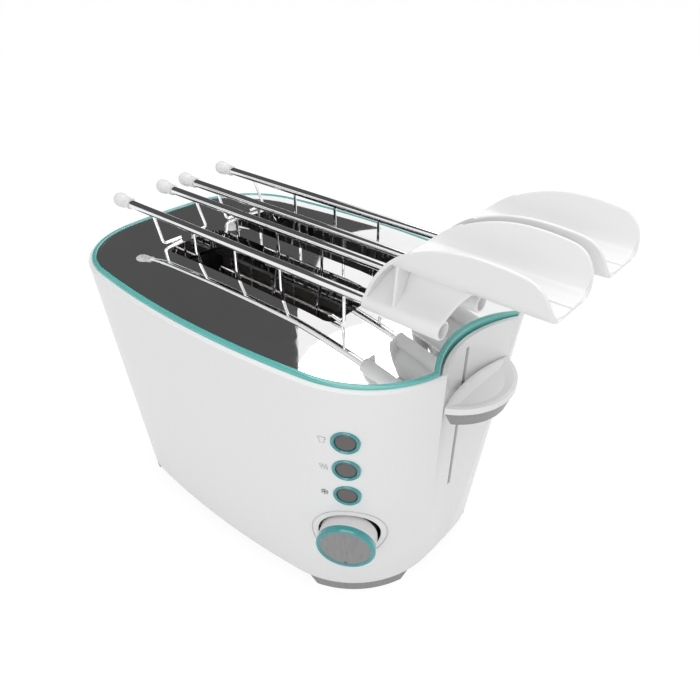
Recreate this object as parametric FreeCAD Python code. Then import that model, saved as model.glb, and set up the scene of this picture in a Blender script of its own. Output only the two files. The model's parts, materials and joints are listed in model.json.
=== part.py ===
# Two-slice toaster with a domed steel top, a carriage lever, three buttons, a browning knob
# and two lift-off sandwich tongs. Millimetres. +X is the lever end, -Y the front with the
# controls, +Z up. The origin is the middle of the footprint on the surface it stands on.
import FreeCAD, Part
import math
import os
from FreeCAD import Vector

# Housing
BODY_TOP_LENGTH = 297.0
BODY_TOP_WIDTH = 196.4
BODY_BASE_LENGTH = 262.0
BODY_BASE_WIDTH = 171.0
BODY_TOP_Z = 177.0
BODY_BASE_Z = 8.0
SIDE_RADIUS = 620.0
END_RADIUS = 430.0
CORNER_RADIUS = 65.0
BODY_WALL = 2.6
LIP_CHAMFER = 1.4
LEDGE_WIDTH = 7.0
LEDGE_THICKNESS = 2.4

# Hollow at the lever end
SCOOP_RADIUS = 74.0
SCOOP_TOP_X = 135.2
SCOOP_LEAN = 0.026
SCOOP_LIP = 3.0
SCOOP_LIP_GROWTH = 1.2

# Trim ring and domed plate
RING_EDGE = 2.6
RING_WIDTH = 4.8
RING_PROUD = 0.7
RING_GAP = 0.05
DOME_RISE = 13.0
DOME_FLAT_SHARE = 0.34
DOME_RINGS = 4
PLATE_THICKNESS = 0.8
PLATE_GAP = 0.3
SLOT_LENGTH = 149.0
SLOT_WIDTH = 44.0
SLOT_CORNER = 8.0
SLOT_CENTRE_X = 2.5
SLOT_PITCH = 55.8
SLOT_LIP_DEPTH = 11.0

# Base, feet and tray
BASE_THICKNESS = 2.5
BASE_GAP = 0.3
VENT_COUNT = 9
VENT_LENGTH = 70.0
VENT_WIDTH = 3.2
VENT_PITCH = 8.6
FOOT_INSET = 0.8
FOOT_WIDTH = 13.0
FOOT_START_X = 80.0
FOOT_START_Y = 33.0
FOOT_SLANT = 6.5
PAD_RADIUS = 5.0
PAD_THICKNESS = 0.8
PAD_INSET = 7.5
SCREW_X = 60.0
SCREW_RADIUS = 1.5
SCREW_HEAD_RADIUS = 3.2
SCREW_LENGTH = 20.0
SCREW_GAP = 0.06
SCREW_WALL_GAP = 1.5
BOSS_RADIUS = 6.0
BOSS_HEIGHT = 24.0
TRAY_WIDTH = 103.0
TRAY_DEPTH = 6.6
TRAY_SHEET = 0.8
TRAY_RIGHT_X = 73.0
TRAY_GAP = 0.45
RUNNER_HEIGHT = 1.3
RUNNER_WIDTH = 5.0
RUNNER_Y = 34.0
GRIP_RADIUS = 9.0
GRIP_DEPTH = 1.6
CORD_BUSH_X = -72.0
CORD_BUSH_Z = 24.0
CORD_BUSH_BORE = 3.6
CORD_BUSH_RADIUS = 5.4
CORD_BUSH_FLANGE = 7.4

# Heating chamber
CHAMBER_LEFT_X = -75.0
CHAMBER_RIGHT_X = 80.0
CHAMBER_PLATE = 1.0
CHAMBER_TOP_Z = 170.0
CHAMBER_HALF_WIDTH = 60.0
PLATE_FLANGE = 9.0
BOARD_THICKNESS = 0.8
BOARD_BOTTOM_Z = 34.0
BOARD_TOP_Z = 164.0
BOARD_Y = 54.5
RIBBON_COUNT = 7
RIBBON_HEIGHT = 2.4
RIBBON_THICKNESS = 0.35
RIBBON_MARGIN = 5.0
GUARD_WIRE = 0.8
GUARD_RAIL = 1.6
GUARD_COUNT = 7
GUARD_CLEAR = 1.6

# Carriage and lever
CARRIAGE_Z = 96.0
REST_WIDTH = 14.0
REST_SHEET = 1.0
REST_LEFT_X = -66.0
REST_TAB_WIDTH = 3.0
REST_SPINE_DEPTH = 6.0
SLIT_END_GAP = 1.5
SLIT_WIDTH = 5.0
CARRIAGE_DROP = 68.0
CARRIAGE_RAISE = 12.0
BRACKET_X = 85.0
BRACKET_SHEET = 1.5
BRACKET_HALF_WIDTH = 33.0
BRACKET_HEIGHT = 18.0
POST_X = 97.0
POST_RADIUS = 3.0
POST_GAP = 0.06
SLIDER_RADIUS = 7.0
SLIDER_BOTTOM_Z = 118.0
SLIDER_TOP_Z = 150.0
BRIDGE_THICKNESS = 1.6
ARM_THICKNESS = 2.0
ARM_BOTTOM_Z = 139.0
ARM_HEIGHT = 7.0
ARM_END_X = 150.0
LEVER_SLOT_WIDTH = 3.4
LEVER_SLOT_BOTTOM_Z = 64.0
LEVER_SLOT_TOP_Z = 171.0
LEVER_TIP_X = 143.4
LEVER_HALF_WIDTH = 33.5
LEVER_OUTER_X = 164.0
LEVER_INNER_X = 138.4
LEVER_TOP_Z = 151.5
LEVER_CAP_THICKNESS = 4.0
LEVER_BAND_HEIGHT = 10.0
LEVER_BAND_TAPER = 3.6
LEVER_LIP = 2.2
LEVER_DISH = 2.2
MAGNET_X = 97.0
MAGNET_Y = -22.0
MAGNET_HEIGHT = 24.0
MAGNET_WIDTH = 18.0
MAGNET_DEPTH = 12.0
MAGNET_LEG = 3.0
COIL_RADIUS = 5.0
KEEPER_THICKNESS = 2.0
KEEPER_GAP = 0.3
SPRING_Y = 15.0
SPRING_RADIUS = 3.0
SPRING_WALL = 0.8

# Controls, measured on the panel down from the top button
CONTROL_ANGLE = 29.3
TOP_BUTTON_ANGLE = 31.3
TOP_BUTTON_Z = 140.3
KNOB_ANGLE = 35.6
KNOB_Z = 60.1
BUTTON_PITCH = 21.7
BUTTON_COUNT = 3
BEZEL_RADIUS = 8.2
BEZEL_WALL = 1.9
BEZEL_PROUD = 0.9
BEZEL_DEPTH = 4.0
BUTTON_GAP = 0.15
BUTTON_PROUD = 0.3
BUTTON_DEPTH = 9.0
BUTTON_TRAVEL = 1.5
BUTTON_FLANGE = 1.2
BUTTON_FLANGE_THICKNESS = 1.5
STEM_RADIUS = 2.0
STEM_LENGTH = 2.6
SWITCH_SIZE = 6.0
SWITCH_GAP = 0.3
BOARD_DEPTH = 17.0
CIRCUIT_THICKNESS = 1.6
CIRCUIT_HALF_WIDTH = 15.0
CIRCUIT_ABOVE = 12.0
CIRCUIT_BELOW = 23.0
PANEL_BOSS_RADIUS = 2.6
PANEL_BOSS_X = 12.0
PANEL_BOSS_MARGIN = 3.5
KNOB_RADIUS = 18.0
KNOB_HOLE_GAP = 1.0
KNOB_HEIGHT = 10.5
KNOB_INSIDE = 2.5
KNOB_WALL = 2.0
KNOB_RING_HEIGHT = 4.0
KNOB_RING_WIDTH = 2.6
KNOB_FACE_RECESS = 0.5
KNOB_FACE_THICKNESS = 1.6
KNOB_HUB_RADIUS = 5.5
SHAFT_RADIUS = 3.0
SHAFT_GAP = 0.06
POT_RADIUS = 8.5
POT_HEIGHT = 7.0
BUSHING_RADIUS = 4.5
BUSHING_HEIGHT = 4.0
GROOVE_RADIUS = 22.2
GROOVE_WIDTH = 1.1
GROOVE_DEPTH = 0.9

# Tongs
ROD_Z = 207.0
ROD_SPREAD = 17.8
ROD_RADIUS = 2.8
ROD_LEFT_X = -122.0
CAP_LEFT_X = -128.0
CAP_LENGTH = 17.0
CAP_RADIUS = 5.0
CAP_NECK_RADIUS = 3.9
CAP_FIT = 0.03
WIRE_RADIUS = 1.0
WIRE_BEND = 3.5
JAW_WIRES = 3
JAW_FIRST_X = -43.5
JAW_PITCH = 38.5
JAW_SPREAD = 12.6
JAW_NECK_Z = 192.0
JAW_BEND_Z = 166.0
JAW_BOTTOM_Z = 118.0
JAW_HOOK_SPREAD = 0.35
JAW_RAILS = 4
RAIL_END_X = 64.0
LEG_GAP = 0.25
LEFT_LEG_TOP_X = -87.0
LEFT_LEG_FOOT_X = -78.5
LEFT_FOOT_END = 4.0
RIGHT_LEG_X = 82.0
RIGHT_HOOK_X = 72.5
RIGHT_HOOK_RISE = 1.8
RIGHT_HOOK_DROP = 1.2
RIGHT_HOOK_INSET = 0.5
RIGHT_FOOT_GAP = 0.55
LEG_BEND = 2.2
HANDLE_LEFT_X = 98.0
TUBE_RIGHT_X = 145.3
TUBE_RADIUS = 5.2
TUBE_FIT = 0.03
TROUGH_Z = 230.0
TROUGH_FLOOR = 2.0
TROUGH_HALF_WIDTH = 20.2
TROUGH_LEFT_X = 114.5
TROUGH_RIGHT_X = 199.0
PETAL_CENTRE_X = 156.4
PETAL_HALF_LENGTH = 42.6
PETAL_HEIGHT = 23.4
PETAL_FLARE = 4.4
PETAL_SHEET = 2.0
SKIRT_SHEET = 1.7
SKIRT_RIGHT_X = 166.0
ARCH_MID_X = 104.6
ARCH_MID_Z = 218.5
ARCH_FLANGE = 1.8
RIB_X = 116.5
RIB_THICKNESS = 1.5
SEAM_GAP = 0.35
PIN_Z = 226.6
PIN_RADIUS = 1.2
PIN_GAP = 0.05
PIN_LEFT_X = 117.0
PIN_RIGHT_X = 163.0
KNUCKLE_RADIUS = 2.7
KNUCKLE_LENGTH = 7.0
KNUCKLE_GAP = 0.4
TORSION_RADIUS = 2.3
TORSION_GAP = 0.1

# Values that follow from the ones above
BASE_TOP_Z = BODY_BASE_Z + BASE_THICKNESS
TRAY_Z = BASE_TOP_Z + RUNNER_HEIGHT + 0.2
RING_INNER = RING_EDGE + RING_WIDTH
PLATE_EDGE = RING_INNER + PLATE_GAP
LEDGE_TOP_Z = BODY_TOP_Z - 3.5
FAR = 400.0


def save(name, shape):
    shape.exportStep("parts/" + name + ".step")
    solids = len(shape.Solids)
    print(name, "solids", solids, "valid", shape.isValid(), "volume", round(shape.Volume))


def box(x0, x1, y0, y1, z0, z1):
    return Part.makeBox(x1 - x0, y1 - y0, z1 - z0, Vector(x0, y0, z0))


def rod(start, end, radius):
    axis = end.sub(start)
    return Part.makeCylinder(radius, axis.Length, start, axis)


def fuse(shapes):
    return shapes[0].multiFuse(shapes[1:]).removeSplitter()


def oval(half_length, half_width, side, end, corner, z):
    """Closed plan outline of eight tangent arcs."""
    side_centre = (0.0, half_width - side)
    end_centre = (half_length - end, 0.0)
    r1 = side - corner
    r2 = end - corner
    dx = end_centre[0] - side_centre[0]
    dy = end_centre[1] - side_centre[1]
    gap = math.hypot(dx, dy)
    along = (r1 * r1 - r2 * r2 + gap * gap) / (2 * gap)
    across = math.sqrt(r1 * r1 - along * along)
    cx = side_centre[0] + (along * dx + across * dy) / gap
    cy = side_centre[1] + (along * dy - across * dx) / gap
    side_angle = math.atan2(cy - side_centre[1], cx - side_centre[0])
    end_angle = math.atan2(cy - end_centre[1], cx - end_centre[0])

    def at(centre, radius, angle, sx, sy):
        x = sx * (centre[0] + radius * math.cos(angle))
        y = sy * (centre[1] + radius * math.sin(angle))
        return Vector(x, y, z)

    corner_middle = (side_angle + end_angle) / 2
    edges = []
    for sx, sy in ((1, 1), (-1, 1), (-1, -1), (1, -1)):
        a = at(end_centre, end, end_angle, sx, sy)
        b = at((cx, cy), corner, corner_middle, sx, sy)
        c = at(side_centre, side, side_angle, sx, sy)
        flip = sx * sy < 0
        edges.append(Part.Arc(c, b, a).toShape() if flip else Part.Arc(a, b, c).toShape())
        if sx * sy > 0:
            start = at(side_centre, side, side_angle, sx, sy)
            finish = at(side_centre, side, side_angle, -sx, sy)
            middle = Vector(0, sy * half_width, z)
        else:
            start = at(end_centre, end, end_angle, sx, sy)
            finish = at(end_centre, end, end_angle, sx, -sy)
            middle = Vector(sx * half_length, 0, z)
        edges.append(Part.Arc(start, middle, finish).toShape())
    return Part.Wire(edges)


def body_size(z):
    """Half length and half width of the housing at a height."""
    share = (z - BODY_BASE_Z) / (BODY_TOP_Z - BODY_BASE_Z)
    half_length = (BODY_BASE_LENGTH + share * (BODY_TOP_LENGTH - BODY_BASE_LENGTH)) / 2
    half_width = (BODY_BASE_WIDTH + share * (BODY_TOP_WIDTH - BODY_BASE_WIDTH)) / 2
    return half_length, half_width


def section(z, inset, size_z=None):
    half_length, half_width = body_size(z if size_z is None else size_z)
    return oval(half_length - inset, half_width - inset, SIDE_RADIUS - inset,
                END_RADIUS - inset, CORNER_RADIUS - inset, z)


def body_block(z0, z1, inset=0.0, top_inset=None):
    """Solid between two heights of the flared housing."""
    upper = inset if top_inset is None else top_inset
    return Part.makeLoft([section(z0, inset), section(z1, upper)], True, True)


def top_prism(z0, z1, inset):
    """Upright solid on the outline of the housing's top edge."""
    face = Part.Face(section(z0, inset, BODY_TOP_Z))
    return face.extrude(Vector(0, 0, z1 - z0))


def scoop(grow=0.0, shift=0.0):
    """Leaning cylinder that hollows the lever end."""
    radius = SCOOP_RADIUS + grow
    lean = Vector(SCOOP_LEAN, 0, 1)
    lean.normalize()
    centre = Vector(SCOOP_TOP_X + SCOOP_RADIUS - shift, 0, BODY_TOP_Z)
    start = centre.sub(lean * FAR / 2)
    return Part.makeCylinder(radius, FAR, start, lean)


def rim_prism(z0, z1, inset):
    """Upright solid on the housing's top edge, hollowed at the lever end."""
    growth = SCOOP_LIP_GROWTH + inset - RING_EDGE
    return top_prism(z0, z1, inset).cut(scoop(growth, SCOOP_LIP))


def dome(shift=0.0):
    """Pillow-shaped solid whose top is the domed plate's upper face."""
    half_length, half_width = body_size(BODY_TOP_Z)
    wires = []
    for step in range(DOME_RINGS + 1):
        share = 1.0 - step * (1.0 - DOME_FLAT_SHARE) / DOME_RINGS
        z = BODY_TOP_Z + DOME_RISE * (1 - share * share) + shift
        wires.append(oval(half_length * share, half_width * share, SIDE_RADIUS * share,
                          END_RADIUS * share, CORNER_RADIUS * share, z))
    cap = Part.makeLoft(wires, True, False)
    block = top_prism(BODY_TOP_Z - 30 + shift, BODY_TOP_Z + shift, 0.0)
    return block.fuse(cap)


def dome_height(x, y):
    """Height of the domed plate's upper face above a point."""
    half_length, half_width = body_size(BODY_TOP_Z)
    low, high = 0.0, 1.0
    for _ in range(30):
        share = (low + high) / 2
        wire = oval(half_length * share, half_width * share, SIDE_RADIUS * share,
                    END_RADIUS * share, CORNER_RADIUS * share, 0)
        inside = Part.Face(wire).isInside(Vector(x, y, 0), 1e-6, True)
        low, high = (low, share) if inside else (share, high)
    share = max(high, DOME_FLAT_SHARE)
    return BODY_TOP_Z + DOME_RISE * (1 - share * share)


def rounded_block(x0, x1, y0, y1, z0, z1, corner):
    block = box(x0, x1, y0, y1, z0, z1)
    upright = [e for e in block.Edges if abs(e.tangentAt(e.FirstParameter).z) > 0.9]
    return block.makeFillet(corner, upright)


def slot_block(side, z0, z1, inset=0.0):
    """Rounded block in one bread slot; side is -1 at the front and 1 at the rear."""
    half = SLOT_LENGTH / 2 - inset
    wide = SLOT_WIDTH / 2 - inset
    y = side * SLOT_PITCH / 2
    x = SLOT_CENTRE_X
    return rounded_block(x - half, x + half, y - wide, y + wide, z0, z1, SLOT_CORNER - inset)


# Panel frame for the buttons and the knob
def corner_centre(z):
    half_length, half_width = body_size(z)
    wire = section(z, 0.0)
    arcs = [e for e in wire.Edges if abs(e.Curve.Radius - CORNER_RADIUS) < 1e-3]
    centres = [e.Curve.Center for e in arcs]
    return [c for c in centres if c.x > 0 and c.y < 0][0]


def panel_point(z, degrees):
    angle = math.radians(degrees)
    return corner_centre(z).add(Vector(math.sin(angle), -math.cos(angle), 0) * CORNER_RADIUS)


def panel_frame(drop):
    """Placement at a distance down the panel, with +Z pointing out of it."""
    angle = math.radians(CONTROL_ANGLE)
    top = panel_point(TOP_BUTTON_Z, TOP_BUTTON_ANGLE)
    up = top.sub(panel_point(KNOB_Z, KNOB_ANGLE))
    up.normalize()
    across = Vector(math.cos(angle), math.sin(angle), 0)
    out = across.cross(up)
    out.normalize()
    across = up.cross(out)
    origin = top.sub(up * drop)
    turn = FreeCAD.Rotation(across, up, out, "ZXY")
    return FreeCAD.Placement(origin, turn)


def knob_drop():
    """Distance along the panel from the top button to the knob."""
    top = panel_point(TOP_BUTTON_Z, TOP_BUTTON_ANGLE)
    return top.sub(panel_point(KNOB_Z, KNOB_ANGLE)).Length


def on_panel(shape, drop):
    placed = shape.copy()
    placed.Placement = panel_frame(drop).multiply(placed.Placement)
    return placed


def disc(radius, z0, z1, x=0.0, y=0.0):
    return Part.makeCylinder(radius, z1 - z0, Vector(x, y, z0))


def revolve(points):
    """Solid turned round Z from (radius, height) points."""
    wire = Part.makePolygon([Vector(r, 0, z) for r, z in points + [points[0]]])
    return Part.Face(wire).revolve(Vector(0, 0, 0), Vector(0, 0, 1), 360)


def button_drops():
    return [row * BUTTON_PITCH for row in range(BUTTON_COUNT)]


def panel_boss_spots():
    top = CIRCUIT_ABOVE - PANEL_BOSS_MARGIN
    bottom = -(knob_drop() + CIRCUIT_BELOW - PANEL_BOSS_MARGIN)
    return [(x, y) for x in (-PANEL_BOSS_X, PANEL_BOSS_X) for y in (top, bottom)]


# Housing pieces
def make_body_shell():
    lip_z = BODY_TOP_Z - LIP_CHAMFER
    outer = body_block(BODY_BASE_Z, lip_z).fuse(body_block(lip_z, BODY_TOP_Z, 0.0, LIP_CHAMFER))
    outer = outer.cut(scoop())
    cavity = body_block(BODY_BASE_Z - 5, BODY_TOP_Z + 5, BODY_WALL).cut(scoop(BODY_WALL))
    ledge_z = LEDGE_TOP_Z - LEDGE_THICKNESS
    ledge = body_block(ledge_z, LEDGE_TOP_Z, 1.0).cut(scoop(1.0))
    ledge_hole = rim_prism(ledge_z - 1, LEDGE_TOP_Z + 1, BODY_WALL + LEDGE_WIDTH)
    ledge = ledge.cut(ledge_hole)
    recess = rim_prism(LEDGE_TOP_Z, BODY_TOP_Z + 5, RING_EDGE - RING_GAP)
    shell = outer.cut(cavity).fuse(ledge).cut(recess)
    trim = body_block(BODY_BASE_Z, lip_z, 1.0)
    for boss in screw_bosses():
        shell = shell.fuse(boss.common(trim))
    front = -(BOARD_DEPTH - CIRCUIT_THICKNESS)
    for x, y in panel_boss_spots():
        post = on_panel(disc(PANEL_BOSS_RADIUS, front, 4, x, y), 0.0)
        shell = shell.fuse(post.common(trim))
    slot = box(100, 200, -LEVER_SLOT_WIDTH / 2, LEVER_SLOT_WIDTH / 2,
               LEVER_SLOT_BOTTOM_Z, LEVER_SLOT_TOP_Z)
    shell = shell.cut(slot)
    for drop in button_drops():
        shell = shell.cut(on_panel(disc(BEZEL_RADIUS + 0.05, -8, 5), drop))
    hole = disc(KNOB_RADIUS + KNOB_HOLE_GAP, -9, 5)
    shell = shell.cut(on_panel(hole, knob_drop()))
    skin = body_block(BODY_BASE_Z, lip_z).cut(body_block(BODY_BASE_Z, lip_z, GROOVE_DEPTH))
    ring = disc(GROOVE_RADIUS + GROOVE_WIDTH, -12, 6).cut(disc(GROOVE_RADIUS, -13, 7))
    shell = shell.cut(on_panel(ring, knob_drop()).common(skin))
    shell = shell.cut(tray_window(0.0))
    shell = shell.cut(cord_hole(CORD_BUSH_RADIUS + 0.02))
    return shell.removeSplitter()


def screw_spots():
    bow = SIDE_RADIUS - math.sqrt(SIDE_RADIUS * SIDE_RADIUS - SCREW_X * SCREW_X)
    wall_y = body_size(BODY_BASE_Z)[1] - bow - BODY_WALL
    y = wall_y - SCREW_HEAD_RADIUS - SCREW_WALL_GAP
    return [(sx * SCREW_X, sy * y) for sx in (-1, 1) for sy in (-1, 1)]


def screw_bosses():
    bosses = []
    for x, y in screw_spots():
        boss = disc(BOSS_RADIUS, BASE_TOP_Z, BASE_TOP_Z + BOSS_HEIGHT, x, y)
        hole = disc(SCREW_RADIUS + SCREW_GAP, BASE_TOP_Z - 1, BASE_TOP_Z + BOSS_HEIGHT - 2, x, y)
        bosses.append(boss.cut(hole))
    return bosses


def make_base_screws():
    screws = []
    for x, y in screw_spots():
        head = disc(SCREW_HEAD_RADIUS, BODY_BASE_Z, BODY_BASE_Z + 1.5, x, y)
        shank = disc(SCREW_RADIUS, BODY_BASE_Z + 1.5, BODY_BASE_Z + SCREW_LENGTH, x, y)
        cross = box(x - 2, x + 2, y - 0.4, y + 0.4, BODY_BASE_Z, BODY_BASE_Z + 0.8)
        cross = cross.fuse(box(x - 0.4, x + 0.4, y - 2, y + 2, BODY_BASE_Z, BODY_BASE_Z + 0.8))
        screws.append(head.fuse(shank).cut(cross))
    return Part.makeCompound(screws)


def make_rim_ring():
    raised = dome(RING_PROUD)
    outer = rim_prism(LEDGE_TOP_Z, BODY_TOP_Z + 20, RING_EDGE)
    inner = rim_prism(LEDGE_TOP_Z - 1, BODY_TOP_Z + 21, RING_INNER)
    return outer.cut(inner).common(raised)


def make_top_plate():
    top = dome()
    under = dome(-PLATE_THICKNESS)
    blank = rim_prism(LEDGE_TOP_Z, BODY_TOP_Z + 20, PLATE_EDGE)
    core = rim_prism(LEDGE_TOP_Z - 1, BODY_TOP_Z + 21, PLATE_EDGE + PLATE_THICKNESS)
    sheet = blank.common(top).cut(core.common(under))
    bottom = BODY_TOP_Z + 4 - SLOT_LIP_DEPTH + 4
    for side in (-1, 1):
        lip = slot_block(side, bottom, BODY_TOP_Z + 18).common(top)
        sheet = sheet.fuse(lip)
        sheet = sheet.cut(slot_block(side, bottom - 5, BODY_TOP_Z + 30, PLATE_THICKNESS))
    return sheet.removeSplitter()


def tray_window(gap):
    """Block through the left end wall that the tray slides in."""
    half = TRAY_WIDTH / 2 + TRAY_GAP - gap
    z0 = TRAY_Z - TRAY_GAP + gap
    z1 = TRAY_Z + TRAY_DEPTH + TRAY_GAP + 1.0 - gap
    return box(-FAR, -60, -half, half, z0, z1)


def cord_axis():
    half_width = body_size(CORD_BUSH_Z)[1]
    return Vector(CORD_BUSH_X, half_width, CORD_BUSH_Z)


def cord_hole(radius):
    at = cord_axis()
    return rod(Vector(at.x, at.y - 20, at.z), Vector(at.x, at.y + 20, at.z), radius)


def make_cord_bush():
    at = cord_axis()
    body = rod(Vector(at.x, at.y - 7, at.z), Vector(at.x, at.y + 1.5, at.z), CORD_BUSH_RADIUS)
    flange = rod(Vector(at.x, at.y + 0.2, at.z), Vector(at.x, at.y + 2.2, at.z), CORD_BUSH_FLANGE)
    flange = flange.cut(body_block(BODY_BASE_Z, BODY_BASE_Z + 60, -0.02))
    bore = rod(Vector(at.x, at.y - 9, at.z), Vector(at.x, at.y + 9, at.z), CORD_BUSH_BORE)
    return body.fuse(flange).cut(bore).removeSplitter()


def make_base_plate():
    inset = BODY_WALL + BASE_GAP
    plate = body_block(BODY_BASE_Z, BASE_TOP_Z, inset)
    for side in (-1, 1):
        for row in range(VENT_COUNT):
            x = SLOT_CENTRE_X + (row - (VENT_COUNT - 1) / 2) * VENT_PITCH
            y = side * (VENT_LENGTH / 2 + 3)
            vent = box(x - VENT_WIDTH / 2, x + VENT_WIDTH / 2, y - VENT_LENGTH / 2 + 6,
                       y + VENT_LENGTH / 2 - 6, BODY_BASE_Z - 1, BASE_TOP_Z + 1)
            plate = plate.cut(vent)
        y = side * RUNNER_Y
        low = CHAMBER_LEFT_X - 40
        runner = box(low, TRAY_RIGHT_X, y - RUNNER_WIDTH / 2, y + RUNNER_WIDTH / 2,
                     BASE_TOP_Z, BASE_TOP_Z + RUNNER_HEIGHT)
        plate = plate.fuse(runner)
        stop = box(TRAY_RIGHT_X + 0.5, TRAY_RIGHT_X + 3, y - 8, y + 8,
                   BASE_TOP_Z, BASE_TOP_Z + 5)
        plate = plate.fuse(stop)
    for x, y in screw_spots():
        plate = plate.cut(disc(SCREW_HEAD_RADIUS + 0.2, BODY_BASE_Z - 1, BODY_BASE_Z + 1.5, x, y))
        plate = plate.cut(disc(SCREW_RADIUS + 0.2, BODY_BASE_Z, BASE_TOP_Z + 1, x, y))
    return plate.removeSplitter()


def make_foot(sx, sy):
    """Slanted corner foot that follows the housing's base."""
    top_z = BODY_BASE_Z
    outer = Part.Face(section(PAD_THICKNESS, FOOT_INSET, BODY_BASE_Z))
    inner = Part.Face(section(PAD_THICKNESS, FOOT_INSET + FOOT_WIDTH, BODY_BASE_Z))
    rise = Vector(0, 0, top_z - PAD_THICKNESS)
    band = outer.extrude(rise).cut(inner.extrude(rise))

    def corner(z, x, y):
        far = FAR / 2
        points = [(x, y), (far, y), (far, far), (x, far), (x, y)]
        return Part.makePolygon([Vector(sx * px, sy * py, z) for px, py in points])

    slant = FOOT_SLANT * (top_z - PAD_THICKNESS) / BODY_BASE_Z
    low = corner(PAD_THICKNESS, FOOT_START_X + slant, FOOT_START_Y + slant)
    high = corner(top_z, FOOT_START_X, FOOT_START_Y)
    return band.common(Part.makeLoft([low, high], True, True))


def make_foot_pads():
    centre = corner_centre(BODY_BASE_Z)
    reach = (CORNER_RADIUS - PAD_INSET) * math.sqrt(0.5)
    pads = []
    for sx in (-1, 1):
        for sy in (-1, 1):
            x = sx * (centre.x + reach)
            y = sy * (abs(centre.y) + reach)
            pads.append(disc(PAD_RADIUS, 0.0, PAD_THICKNESS, x, y))
    return Part.makeCompound(pads)


def make_crumb_tray():
    half = TRAY_WIDTH / 2
    sheet = TRAY_SHEET
    top = TRAY_Z + TRAY_DEPTH
    pan = box(-FAR, TRAY_RIGHT_X, -half, half, TRAY_Z, top)
    pan = pan.common(body_block(BODY_BASE_Z, 60, BODY_WALL - 0.8))
    hollow = box(-FAR, TRAY_RIGHT_X - sheet, -half + sheet, half - sheet, TRAY_Z + sheet, top + 1)
    hollow = hollow.common(body_block(BODY_BASE_Z, 60, BODY_WALL + 1.0))
    front = body_block(BODY_BASE_Z, 60).cut(body_block(BODY_BASE_Z - 1, 61, BODY_WALL))
    front = front.common(tray_window(TRAY_GAP))
    left = -body_size(TRAY_Z)[0]
    grip = rod(Vector(left - GRIP_RADIUS + GRIP_DEPTH, 0, TRAY_Z - 5),
               Vector(left - GRIP_RADIUS + GRIP_DEPTH, 0, TRAY_Z + 20), GRIP_RADIUS)
    return pan.cut(hollow).fuse(front).cut(grip).removeSplitter()


# Heating chamber
def make_end_plate(x0, flange_side):
    half = CHAMBER_HALF_WIDTH
    plate = box(x0, x0 + CHAMBER_PLATE, -half, half, BASE_TOP_Z, CHAMBER_TOP_Z)
    edge = x0 if flange_side < 0 else x0 + CHAMBER_PLATE
    tip = edge + flange_side * PLATE_FLANGE
    for side in (-1, 1):
        y0, y1 = sorted((side * (half - 6), side * half))
        foot = box(min(edge, tip), max(edge, tip), y0, y1, BASE_TOP_Z, BASE_TOP_Z + CHAMBER_PLATE)
        plate = plate.fuse(foot)
    return plate


def make_left_end_plate():
    plate = make_end_plate(CHAMBER_LEFT_X - CHAMBER_PLATE, -1)
    half = TRAY_WIDTH / 2 + 1
    mouth = box(-FAR, 0, -half, half, BASE_TOP_Z - 1, TRAY_Z + TRAY_DEPTH + 2)
    return plate.cut(mouth).removeSplitter()


def make_right_end_plate():
    plate = make_end_plate(CHAMBER_RIGHT_X, 1)
    low = CARRIAGE_Z - CARRIAGE_DROP - REST_SPINE_DEPTH - SLIT_END_GAP
    high = CARRIAGE_Z + CARRIAGE_RAISE + SLIT_END_GAP
    for side in (-1, 1):
        y = side * SLOT_PITCH / 2
        slit = box(0, FAR, y - SLIT_WIDTH / 2, y + SLIT_WIDTH / 2, low, high)
        plate = plate.cut(slit)
    low = CHAMBER_TOP_Z - BRIDGE_THICKNESS
    bridge = box(CHAMBER_RIGHT_X, POST_X + 8, -10, SPRING_Y + 6, low, CHAMBER_TOP_Z)
    bridge = bridge.cut(disc(POST_RADIUS, low - 1, CHAMBER_TOP_Z + 1, POST_X, 0))
    return plate.fuse(bridge).removeSplitter()


def make_heater_board(y):
    return box(CHAMBER_LEFT_X, CHAMBER_RIGHT_X, y - BOARD_THICKNESS / 2, y + BOARD_THICKNESS / 2,
               BOARD_BOTTOM_Z, BOARD_TOP_Z)


def make_ribbons(y, faces):
    """Flat heating ribbons on the faces of a board that look at bread."""
    strips = []
    pitch = (BOARD_TOP_Z - BOARD_BOTTOM_Z - 16) / (RIBBON_COUNT - 1)
    for face in faces:
        inner = y + face * BOARD_THICKNESS / 2
        outer = inner + face * RIBBON_THICKNESS
        for row in range(RIBBON_COUNT):
            z = BOARD_BOTTOM_Z + 8 + row * pitch
            strips.append(box(CHAMBER_LEFT_X + RIBBON_MARGIN, CHAMBER_RIGHT_X - RIBBON_MARGIN,
                              min(inner, outer), max(inner, outer),
                              z - RIBBON_HEIGHT / 2, z + RIBBON_HEIGHT / 2))
    return Part.makeCompound(strips)


def make_bread_guard(side):
    """Two upright wire grids that keep bread off the elements of one slot."""
    grids = []
    reach = SLOT_WIDTH / 2 - PLATE_THICKNESS + GUARD_CLEAR
    half = GUARD_RAIL / 2
    for wall in (-1, 1):
        y = side * SLOT_PITCH / 2 + wall * reach
        low = box(CHAMBER_LEFT_X, CHAMBER_RIGHT_X, y - half, y + half, 27, 27 + GUARD_RAIL)
        high = box(CHAMBER_LEFT_X, CHAMBER_RIGHT_X, y - half, y + half, 167, 167 + GUARD_RAIL)
        pieces = [low, high]
        pitch = (SLOT_LENGTH - 24) / (GUARD_COUNT - 1)
        for column in range(GUARD_COUNT):
            x = SLOT_CENTRE_X + (column - (GUARD_COUNT - 1) / 2) * pitch
            pieces.append(disc(GUARD_WIRE, 27.5, 167.5, x, y))
        grids.append(fuse(pieces))
    return Part.makeCompound(grids)


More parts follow.
